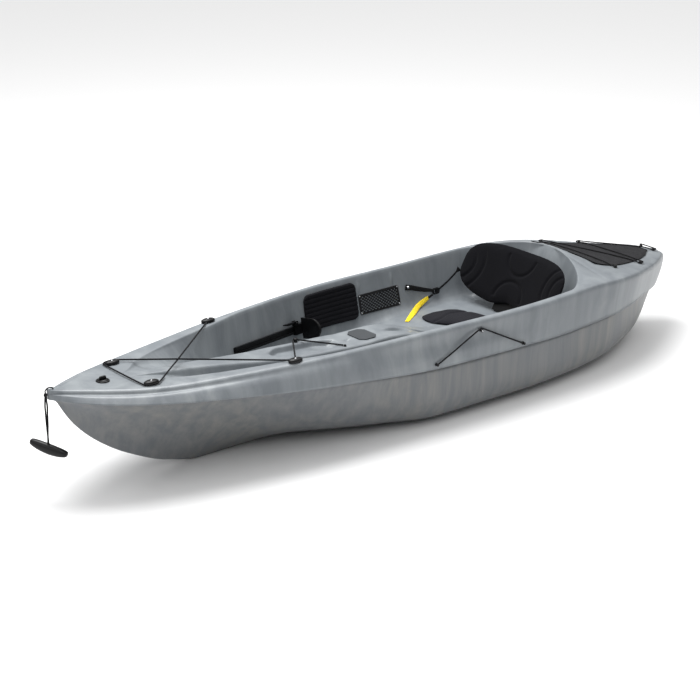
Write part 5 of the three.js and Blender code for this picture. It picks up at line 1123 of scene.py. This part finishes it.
def pad_loops(outline, middle, shares, top, bottom):
    loops = []
    for share, height in [(s, top) for s in shares] + [(s, bottom) for s in shares[::-1][1:]]:
        ring_points = [(lerp(middle[0], a, share), lerp(middle[1], b, share)) for a, b in outline]
        loops.append([(a, b, height(a, b, share)) for a, b in ring_points])
    return loops


def apply_modifiers(piece):
    shaped = bpy.data.meshes.new_from_object(piece.evaluated_get(bpy.context.evaluated_depsgraph_get()))
    piece.modifiers.clear()
    piece.data = shaped


def swell(piece, voxel):
    even = piece.modifiers.new("even_mesh", "REMESH")
    even.mode, even.voxel_size = "VOXEL", voxel * MM
    apply_modifiers(piece)
    before = [vertex.co.copy() for vertex in piece.data.vertices]
    cover = piece.modifiers.new("cover", "CLOTH")
    cover.settings.use_pressure = True
    cover.settings.uniform_pressure_force = SWELL_PRESSURE
    cover.settings.effector_weights.gravity = 0
    for step in range(SWELL_FRAMES):
        bpy.context.scene.frame_set(step + 1)
    apply_modifiers(piece)
    bpy.context.scene.frame_set(1)
    for vertex, start in zip(piece.data.vertices, before):
        move = vertex.co - start
        if move.length > SWELL_CAP * MM:
            vertex.co = start + move.normalized() * SWELL_CAP * MM
    piece.data.shade_smooth()
    return piece


def press(piece, rest, channel):
    """Presses channels into the top of a pad that lies flat, and flattens its foot at a height."""
    normals = [vertex.normal.copy() for vertex in piece.data.vertices]
    for vertex, normal in zip(piece.data.vertices, normals):
        facing = clamp(normal.z * 2 - 0.4)
        vertex.co.z -= channel(vertex.co / MM) * facing * MM
        vertex.co.z = max(vertex.co.z, rest * MM)
    finer = piece.modifiers.new("finer", "SUBSURF")
    finer.levels = finer.render_levels = 1


def groove(distance, width, depth):
    return depth * math.exp(-((distance / width) ** 2) * 4)


print("pads swell by at most", SWELL_CAP, "mm")

# %% Seat pad
PAD_REAR, PAD_FRONT, PAD_HALF, PAD_REST = -560, -320, 214, 208.3
PAD_WALL, PAD_CROWN, PAD_SLACK = 9, 6.5, 0.985
WAVE_PLACES, WAVE_SWING, WAVE_COUNT = (-0.55, 0, 0.55), 12, 3
CHANNEL = (13, 6)
PAD_SHARES = [[0, 0], [0.04, 0.28], [0.14, 0.62], [0.26, 0.88], [0.5, 0.99], [0.78, 1], [0.93, 0.95],
              [0.99, 0.8], [1, 0.62], [0.93, 0.42], [0.8, 0.2], [0.73, 0]]
half_outline = [(lerp(PAD_REAR, PAD_FRONT, a), b * PAD_HALF) for a, b in PAD_SHARES]
whole = half_outline + [(x, -y) for x, y in half_outline[-2:0:-1]]
rounded = smooth_line([(x, y, 0) for x, y in whole[-1:] + whole + whole[:2]], 5)[5:-10]
pad_outline = [(p.x, p.y) for p in rounded]


def pad_top(x, y, share):
    return PAD_REST + PAD_WALL * (1 - 0.3 * share ** 8) + PAD_CROWN * (1 - share ** 4)


def wavy_channels(point):
    deepest = 0
    swing = WAVE_SWING * math.sin(WAVE_COUNT * math.pi * (point.x - PAD_REAR) / (PAD_FRONT - PAD_REAR))
    for wave in WAVE_PLACES:
        deepest = max(deepest, groove(point.y - (wave * PAD_HALF + swing), *CHANNEL))
    return deepest


middle = (lerp(PAD_REAR, PAD_FRONT, 0.42), 0)
slack = [(lerp(middle[0], x, PAD_SLACK), lerp(middle[1], y, PAD_SLACK)) for x, y in pad_outline]
loops = pad_loops(slack, middle, [0.03, 0.2, 0.4, 0.58, 0.74, 0.87, 0.95, 1], pad_top, lambda *_: PAD_REST)
seat_pad = swell(outward(put("seat_cushion", *tube(loops), seat_cloth, None)), voxel=4.5)
press(seat_pad, PAD_REST, wavy_channels)
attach(seat_pad, "boat")
dress(seat_pad, "seat_pad")
print("seat cushion:", len(seat_pad.data.vertices), "points")

# %% [markdown]
# ### Seat back
# The back pad is drawn lying flat, with its face upwards, and it is bent round the sitter and leaned
# back only when it is finished. Its channels are arcs: a smile at the top, a bow over the notch, and
# two arcs in each wing, as concentric ripples.

# %% Seat back pad
BACK_PLACE, BACK_LEAN = Vector((-690, 0, 346)), 0.54
BACK_WIDE, BACK_TALL, BACK_FOOT, NOTCH_TALL = 300, 134, -12, 24
BACK_WALL, BACK_CROWN, BACK_SLACK = 8.5, 6, (0.987, 0.975)
WRAP_DEEP, WRAP_SPAN, NOTCH_HALF = 20, 200, 105
ARC_RADIUS, ARC_RISE, WING_RADIUS, WING_STEP = 78, 92, 120, 45
leaned = Matrix.Rotation(-BACK_LEAN, 3, "Y")


def back_wrap(y):
    return WRAP_DEEP * (y / WRAP_SPAN) ** 2


def back_outline(count):
    outline = []
    for k in range(count):
        c, s = math.cos(2 * math.pi * k / count), math.sin(2 * math.pi * k / count)
        y = math.copysign(abs(c) ** (2 / 3), c) * BACK_WIDE
        z = math.copysign(abs(s) ** (2 / 3), s) * BACK_TALL
        if s < 0:
            z += NOTCH_TALL * max(0, math.cos(clamp(y / NOTCH_HALF, -1, 1) * math.pi / 2)) ** 2
        outline.append((y, z))
    return outline


def back_top(y, z, share):
    return BACK_WALL * (1 - 0.5 * share ** 10) + BACK_CROWN * (1 - share ** 4)


def arc_channels(point):
    y, z = point.x, point.y
    wing = math.hypot(abs(y) - BACK_WIDE, z) - WING_RADIUS
    deepest = max(groove(wing, *CHANNEL), groove(wing + WING_STEP, *CHANNEL))
    for inner in (ARC_RISE - z, ARC_RISE + z):
        if inner > 0:
            deepest = max(deepest, groove(math.hypot(y, inner) - ARC_RADIUS, *CHANNEL))
    return deepest * clamp((1 - (abs(y) / BACK_WIDE) ** 3 - (abs(z) / BACK_TALL) ** 3) * 5)


slack = [(y * BACK_SLACK[0], z * BACK_SLACK[1]) for y, z in back_outline(120)]
loops = pad_loops(slack, (0, 0), [0.03, 0.14, 0.28, 0.42, 0.55, 0.68, 0.8, 0.9, 0.96, 1],
                  back_top, lambda *_: BACK_FOOT)
back_pad = swell(outward(put("seat_back_cushion", *tube(loops), back_cloth, None)), voxel=5)
press(back_pad, BACK_FOOT, arc_channels)
for vertex in back_pad.data.vertices:
    y, z, x = vertex.co / MM
    vertex.co = (leaned @ Vector((x + back_wrap(y), y, z)) + BACK_PLACE) * MM
outward(back_pad)
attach(back_pad, "seat_back")
dress(back_pad, "seat_back_pad")
print("seat back cushion:", len(back_pad.data.vertices), "points")

# %% [markdown]
# ## Padding and pocket on the cockpit walls
# Ribbed foam pads save the paddler's knees, and a net pocket is riveted behind the starboard one. Each
# follows the curve of the moulded wall, so each is drawn in the wall's own measures: along, up and out.

# %% Thigh pads
THIGH_REAR, THIGH_FRONT, THIGH_LOW, THIGH_HEIGHT = -102, 166, 233, 146
THIGH_THICK, THIGH_CORNER, THIGH_GAP = 9, 26, 0.45
RIBS, RIB_CHANNEL, SOFT_EDGE, EDGE_LOW = 8, (5, 2.6), 4, 0.35


def on_wall(x, z, out, sign=1):
    return (x, sign * (wall_breadth(x, z) - out), z)


def thigh_loop(x, sign):
    half, mid = (THIGH_FRONT - THIGH_REAR) / 2, (THIGH_FRONT + THIGH_REAR) / 2
    into = max(0, abs(x - mid) - (half - THIGH_CORNER))
    tall = THIGH_HEIGHT / 2 - THIGH_CORNER + math.sqrt(max(0, THIGH_CORNER ** 2 - into ** 2))
    near_end = clamp((half - abs(x - mid)) / SOFT_EDGE)
    face, back = [], []
    for t in np.linspace(-1, 1, 71):
        z = THIGH_LOW + THIGH_HEIGHT / 2 + t * tall
        near_edge = clamp((1 - abs(t)) * tall / SOFT_EDGE)
        rib = (z - THIGH_LOW) / THIGH_HEIGHT * RIBS
        off = (rib - round(rib)) * THIGH_HEIGHT / RIBS
        depth = groove(off, *RIB_CHANNEL) if 0.5 < rib < RIBS - 0.5 else 0
        swell_out = 1 - EDGE_LOW * (1 - min(near_edge, near_end)) ** 2
        face.append(on_wall(x, z, THIGH_GAP + THIGH_THICK * swell_out - depth, sign))
        back.append(on_wall(x, z, THIGH_GAP, sign))
    return face + back[::-1]


thigh_places = lerp(THIGH_REAR, THIGH_FRONT, 0.5 - 0.5 * np.cos(np.linspace(0.04, math.pi - 0.04, 45)))
for side, sign in SIDES:
    loops = [thigh_loop(x, sign) for x in thigh_places]
    thigh_pad = outward(put(f"thigh_padding_{side}", *tube(loops), ribbed_foam, "boat"))
    dress(thigh_pad, f"thigh_pad_{side}")
    print(thigh_pad.name, len(thigh_pad.data.polygons), "faces")

# %% Net pocket on the starboard wall
NET_REAR, NET_FRONT, NET_LOW, NET_TOP = -318, -116, 246, 318
NET_PITCH, NET_SLOPE, NET_STRAND_HALF = 17, 0.75, 2.1
HEM_BOX, HEM_CORNER, HEM_WIDE, HEM_THICK, HEM_OUT = (-322, -112, 242, 322), 6, 7, 2.6, 1.2
STUD_XS, STUD_ZS, STUD_OUT = (-316, -118), (248, 316), 3.6
STUD_PROFILE = [(0, 0), (3.6, 0), (3.6, 0.8), (2.9, 2), (1.4, 2.8), (0, 3)]


def net_strand(start_x, way, out):
    """A strand of the net up the wall, or None where too little of it is inside the pocket."""
    run = [(start_x + way * (z - NET_LOW) / NET_SLOPE, z) for z in np.linspace(NET_LOW, NET_TOP, 25)]
    run = [(x, z) for x, z in run if NET_REAR <= x <= NET_FRONT]
    if len(run) < 4:
        return None
    loops = []
    flat_side = Vector((NET_SLOPE, 0, -way)).normalized() * NET_STRAND_HALF
    for x, z in run:
        middle = Vector(on_wall(x, z, out, -1))
        loops.append([tuple(middle + flat_side * a + Vector((0, b, 0)))
                      for a, b in ((1, 0), (0.6, 0.6), (-0.6, 0.6), (-1, 0), (-0.6, -0.6), (0.6, -0.6))])
    return tube(loops)


climb = (NET_TOP - NET_LOW) / NET_SLOPE
strands = []
for x in np.arange(NET_REAR - climb, NET_FRONT + climb, NET_PITCH):
    strands += [net_strand(x, 1, 1.9), net_strand(x, -1, 2.7)]
net = outward(put("pocket_net", *merged([s for s in strands if s]), net_cord, "boat"))
dress(net, "mesh_pocket")


def frame_band(corners, width, thickness, out, sign):
    loops = []
    count = len(corners)
    for k in range(count + 1):
        x, z = corners[k % count]
        before, after = Vector(corners[(k - 1) % count]), Vector(corners[(k + 1) % count])
        along = (after - before).normalized()
        inward = Vector((-along.y, along.x)) * width
        loops.append([on_wall(x, z, out, sign), on_wall(x, z, out + thickness, sign),
                      on_wall(x + inward.x, z + inward.y, out + thickness, sign),
                      on_wall(x + inward.x, z + inward.y, out, sign)])
    return [p for loop in loops for p in loop], grid_faces(count + 1, 4, around=True)


def rounded_corners(x0, x1, z0, z1, radius, steps=5):
    points = []
    for cx, cz, first in ((x1 - radius, z1 - radius, 0), (x0 + radius, z1 - radius, 90),
                          (x0 + radius, z0 + radius, 180), (x1 - radius, z0 + radius, 270)):
        points += [(cx + radius * math.cos(a), cz + radius * math.sin(a))
                   for a in np.radians(np.linspace(first, first + 90, steps + 1))]
    return points


hem_band = frame_band(rounded_corners(*HEM_BOX, HEM_CORNER), HEM_WIDE, HEM_THICK, HEM_OUT, -1)
hem = dress(outward(put("pocket_hem", *hem_band, black_webbing, "boat", smooth=False)))
hem.data.uv_layers.new(name="strip")
studs = [turned_points(STUD_PROFILE, on_wall(x, z, STUD_OUT, -1), axis="y", sides=24)
         for x in STUD_XS for z in STUD_ZS]
dress(outward(put("pocket_studs", *merged(studs), rivet_steel, "boat")))

# %% [markdown]
# ## Cover of the rear well
# A dark mesh lies over the storage well, laced down by the elastic cord. It is one sheet that follows
# the deck from side to side, with shallow wavy creases that fade towards its edges, and a hem all round.

# %% Mesh cover and its hem
COVER_FRONT, COVER_REAR = -943, -1409
COVER_OFF, COVER_THICK, COVER_FADE, CREASE, HEM_RISE = 2.2, 1.2, 30, 1.1, 0.6


def crease(x, y):
    pull = math.sin(x / 23 + y / 31) * 0.9 + math.sin(x / 41 - y / 17 + 1.3) * 0.8
    return CREASE * clamp(pull, -1, 1.4) + CREASE


def cover_point(x, share, rise=0.0):
    y = share * cover_breadth(x / HALF)
    fade = clamp((1 - abs(share)) * 6)
    fade *= clamp((COVER_FRONT - x) / COVER_FADE) * clamp((x - COVER_REAR) / COVER_FADE)
    return (x, y, lid_height(x, y) + COVER_OFF + rise + crease(x, y) * fade)


rows, columns = 70, 41
points = [cover_point(x, s) for x in np.linspace(COVER_REAR, COVER_FRONT, rows)
          for s in np.linspace(-1, 1, columns)]
cover = put("well_cover", points, grid_faces(rows, columns, flip=True), well_mesh, "boat")
thick = cover.modifiers.new("cloth", "SOLIDIFY")
thick.thickness, thick.offset = COVER_THICK * MM, 0
border = [(x, 1) for x in np.linspace(COVER_FRONT, COVER_REAR, 16)]
border += [(COVER_REAR, s) for s in np.linspace(0.5, -0.5, 3)]
border += [(x, -1) for x in np.linspace(COVER_REAR, COVER_FRONT, 16)]
border += [(COVER_FRONT, s) for s in np.linspace(-0.8, 0.8, 9)]
border = [cover_point(x, s, HEM_RISE) for x, s in border + border[:1]]
cover_hem, _ = strip("well_cover_hem", border, strap_outline(HEM_WIDE, HEM_THICK), black_webbing, "boat",
                     across=lambda t: (0.3, 1, 0.05), steps=3)
dress(cover, "tankwell_cover")
dress(cover_hem)
wide = 2 * max(cover_breadth(x / HALF) for x in np.linspace(COVER_REAR, COVER_FRONT, 40)) * MM

# %% [markdown]
# ## Small fittings
# Guides, buttons, posts, plugs and the drain are turned forms. Each is drawn as a profile and stands on
# the foot of its CAD solid. The finer profile gives it the waist and the rounded lip of the real one.


# %% Turned fittings
def fitting(name, node_name, profile, body="boat", across=1.0, axis="z"):
    foot = foot_of(node_name, axis)
    turned(name, profile, foot, black_moulding, "black_plastic", body, node_name, across=across, axis=axis)
    return foot


def screw(name, centre, height):
    profile = [(0.9, height - 0.9), (3.4, height - 0.6), (4, height), (3.6, height + 1.2),
               (2.4, height + 2), (1.1, height + 2.2), (1, height + 0.8), (0.05, height + 0.8)]
    turned(name, profile, centre, rivet_steel, "steel", sides=20)


SCREW_HEIGHT = 12.4
GUIDE_PROFILE = [(0.05, 0), (28.6, 0), (30, 1.4), (30, 6.4), (29, 9), (24, 11.8), (15, 13.6), (9, 14),
                 (8, 12.8), (5, 12.2), (0.05, 12.2)]
BUTTON_PROFILE = [(0.05, 0), (8, 0), (8, 1.4), (5.6, 3), (4.8, 5), (5.4, 7), (7.6, 7.8), (7.9, 8.8),
                  (6.6, 9.8), (3, 10), (0.05, 10)]
POST_PROFILE = [(0.05, 0), (8.2, 0), (8.2, 1), (6, 2.4), (5.9, 10.8), (6.4, 12), (8.8, 12.6), (9, 13.8),
                (7.4, 15), (0.05, 15)]
GROMMET_PROFILE = [(0.05, 0), (6, 0), (6, 1.4), (5, 3), (4.4, 5.4), (3.4, 6.6), (2.4, 7), (0.05, 7)]
PLUG_PROFILE = [(0.05, 0), (6.5, 0), (6.5, 1.4), (5.6, 2.6), (5.4, 9), (6, 10.4), (5.6, 11.6), (4, 12),
                (0.05, 12)]
PEG_PROFILE = [(0.05, 0), (6, 0), (6, 1.6), (5, 3), (4.9, 9.6), (5.2, 11), (6, 11.6), (6, 14), (5, 15),
               (0.05, 15)]
for side, _ in SIDES:
    for place in ("bow", "mid"):
        centre = fitting(f"{place}_cord_guide_{side}", f"{place}_guide_{side}", GUIDE_PROFILE,
                         across=GUIDE_WIDTH / GUIDE_LENGTH)
        screw(f"{place}_guide_screw_{side}", centre, SCREW_HEIGHT)
    for number in (1, 2, 3):
        fitting(f"well_button_{side}_{number}", f"tankwell_button_{side}_{number}", BUTTON_PROFILE)
for place in ("front", "rear"):
    fitting(f"side_plug_{place}", f"side_keeper_plug_{place}", PLUG_PROFILE, axis="y")
fitting("console_post", "front_keeper_post", POST_PROFILE)
fitting("console_grommet", "front_keeper_grommet", GROMMET_PROFILE)
peg_foot = fitting("side_peg", "side_keeper_peg", PEG_PROFILE, axis="y")
turned("side_peg_screw", [(0.05, 14.6), (3.6, 14.6), (3.6, 15.4), (2.6, 16.4), (0.05, 16.6)],
       peg_foot, rivet_steel, "steel", axis="y", sides=20)
print("guides, buttons, plugs and posts turned")

# %% Dark insert in the rear hollow of the console
insert_x, *_, insert_deep = HOLLOWS[1]
turned("hollow_insert", [(0.05, -1.5), (38, -1.5), (40, 0.4), (38.6, 1.6), (33, 2), (31, 1.1), (0.05, 1.1)],
       (insert_x, 0, deck_top(insert_x, 0) - insert_deep + 1), grey_moulding, "grey_plastic", across=0.28)
print("insert at", insert_x, "mm")

# %% Drain plug and its seat
GRIP_HALF_LONG, GRIP_HALF_WIDE = 14.4, 4.4
drain = Vector((0, 0, 0.3)) + fitting("drain_seat_ring", "drain_plug_seat", [
    (17.6, 0), (25, 0), (25, 1.2), (23.6, 3.4), (21.5, 4), (18.6, 4), (17.6, 3), (17.6, 0)])
knob = turned_points([(0.05, -18), (11.4, -18), (11.5, 0), (16.6, 0), (17, 1), (17, 3.6), (15.6, 5),
                      (0.05, 5)], drain)
grip_loops = []
for z, share in ((2, 1), (13, 0.97), (16.6, 0.9), (17.8, 0.75)):
    loop = []
    for a in np.linspace(0, 2 * math.pi, 32, endpoint=False):
        c, s = (math.copysign(abs(v) ** 0.5, v) for v in (math.cos(a), math.sin(a)))
        loop.append(tuple(drain + Vector((GRIP_HALF_LONG * share * c, GRIP_HALF_WIDE * share * s, z))))
    grip_loops.append(loop)
knob_and_grip = merged([knob, tube(grip_loops)])
drain_knob = outward(put("drain_knob_plug", *knob_and_grip, black_moulding, "drain_knob"))
dress(drain_knob, "drain_plug")
print("drain plug at", [round(c) for c in drain], "mm")

# %% [markdown]
# ## Pieces kept from the frame
# The foot rails, pedals, levers, buckles, seat board and the foam inside keep their CAD shape. A small
# bevel takes the knife edge off them, since moulded parts have none and a bevel catches the light.

# %% Finish and bevel of the kept pieces
BEVEL_WIDTH, BEVEL_ANGLE = 0.6, 40
KEPT = {
    black_moulding: ["foot_rail_{}", "foot_pedal_{}", "pedal_lever_{}", "strap_buckle_{}",
                     "seat_back_board", "seat_hinge_tab"],
    rivet_steel: ["pedal_pin_{}", "seat_tab_rivet_{}", "strap_rivet_{}"],
    grey_moulding: ["console_pad"],
    pale_foam: ["seat_foam_pillar", "bow_foam_block", "stern_foam_block"],
}
for material, names in KEPT.items():
    for name in {name.format(side) for name in names for side, _ in SIDES}:
        kept = nodes[name]
        for place in kept.material_slots:
            place.material = material
        edge = kept.modifiers.new("softened_edge", "BEVEL")
        edge.width, edge.segments = BEVEL_WIDTH * MM, 2
        edge.limit_method, edge.angle_limit = "ANGLE", math.radians(BEVEL_ANGLE)
print("kept pieces finished")

# %% [markdown]
# ## Stage
# A pale seamless floor and soft light from above: the tops of the boat are bright and its near side
# lies in soft shade, as in a studio with one big overhead panel.

# %% Floor, lights and surroundings
FLOOR_REACH, FLOOR_TONE = 40, 0.84
floor_mesh = bpy.data.meshes.new("studio_floor")
corners = [(a * FLOOR_REACH, b * FLOOR_REACH, 0) for a, b in ((-1, -1), (1, -1), (1, 1), (-1, 1))]
floor_mesh.from_pydata(corners, [], [(0, 1, 2, 3)])
studio_floor = add_object("studio_floor", floor_mesh)
studio_floor.location.z = -MM
pale_floor, *_ = finish("pale_floor", Base_Color=(FLOOR_TONE, FLOOR_TONE, FLOOR_TONE, 1), Roughness=0.8)
floor_mesh.materials.append(pale_floor)


def panel(name, place, target, size, power):
    data = bpy.data.lights.new(name, "AREA")
    data.shape, data.size, data.energy = "DISK", size, power
    aimed(name, data, place, target)


panel("overhead_panel", (0.2, -1.1, 4.4), (0, 0, 0.2), 3.4, 260)
panel("bow_fill", (5.6, 0.6, 2.2), (1.2, 0, 0.3), 1.6, 22)
surroundings = bpy.data.worlds.new("studio")
surroundings.use_nodes = True
tree = surroundings.node_tree
way = node(tree, "ShaderNodeTexCoord").outputs["Generated"]
upward = node(tree, "ShaderNodeSeparateXYZ", {0: way}).outputs[2]
dome = node(tree, "ShaderNodeMapRange", {
    "Value": upward, "From Min": 0.15, "From Max": 0.9, "To Min": 0.08, "To Max": 1.35})
tree.links.new(dome.outputs[0], tree.nodes["Background"].inputs["Strength"])
tree.nodes["Background"].inputs["Color"].default_value = (1, 1, 1, 1)
bpy.context.scene.view_settings.view_transform = "Standard"
bpy.context.scene.world = surroundings
print("floor, two lights and a pale dome")
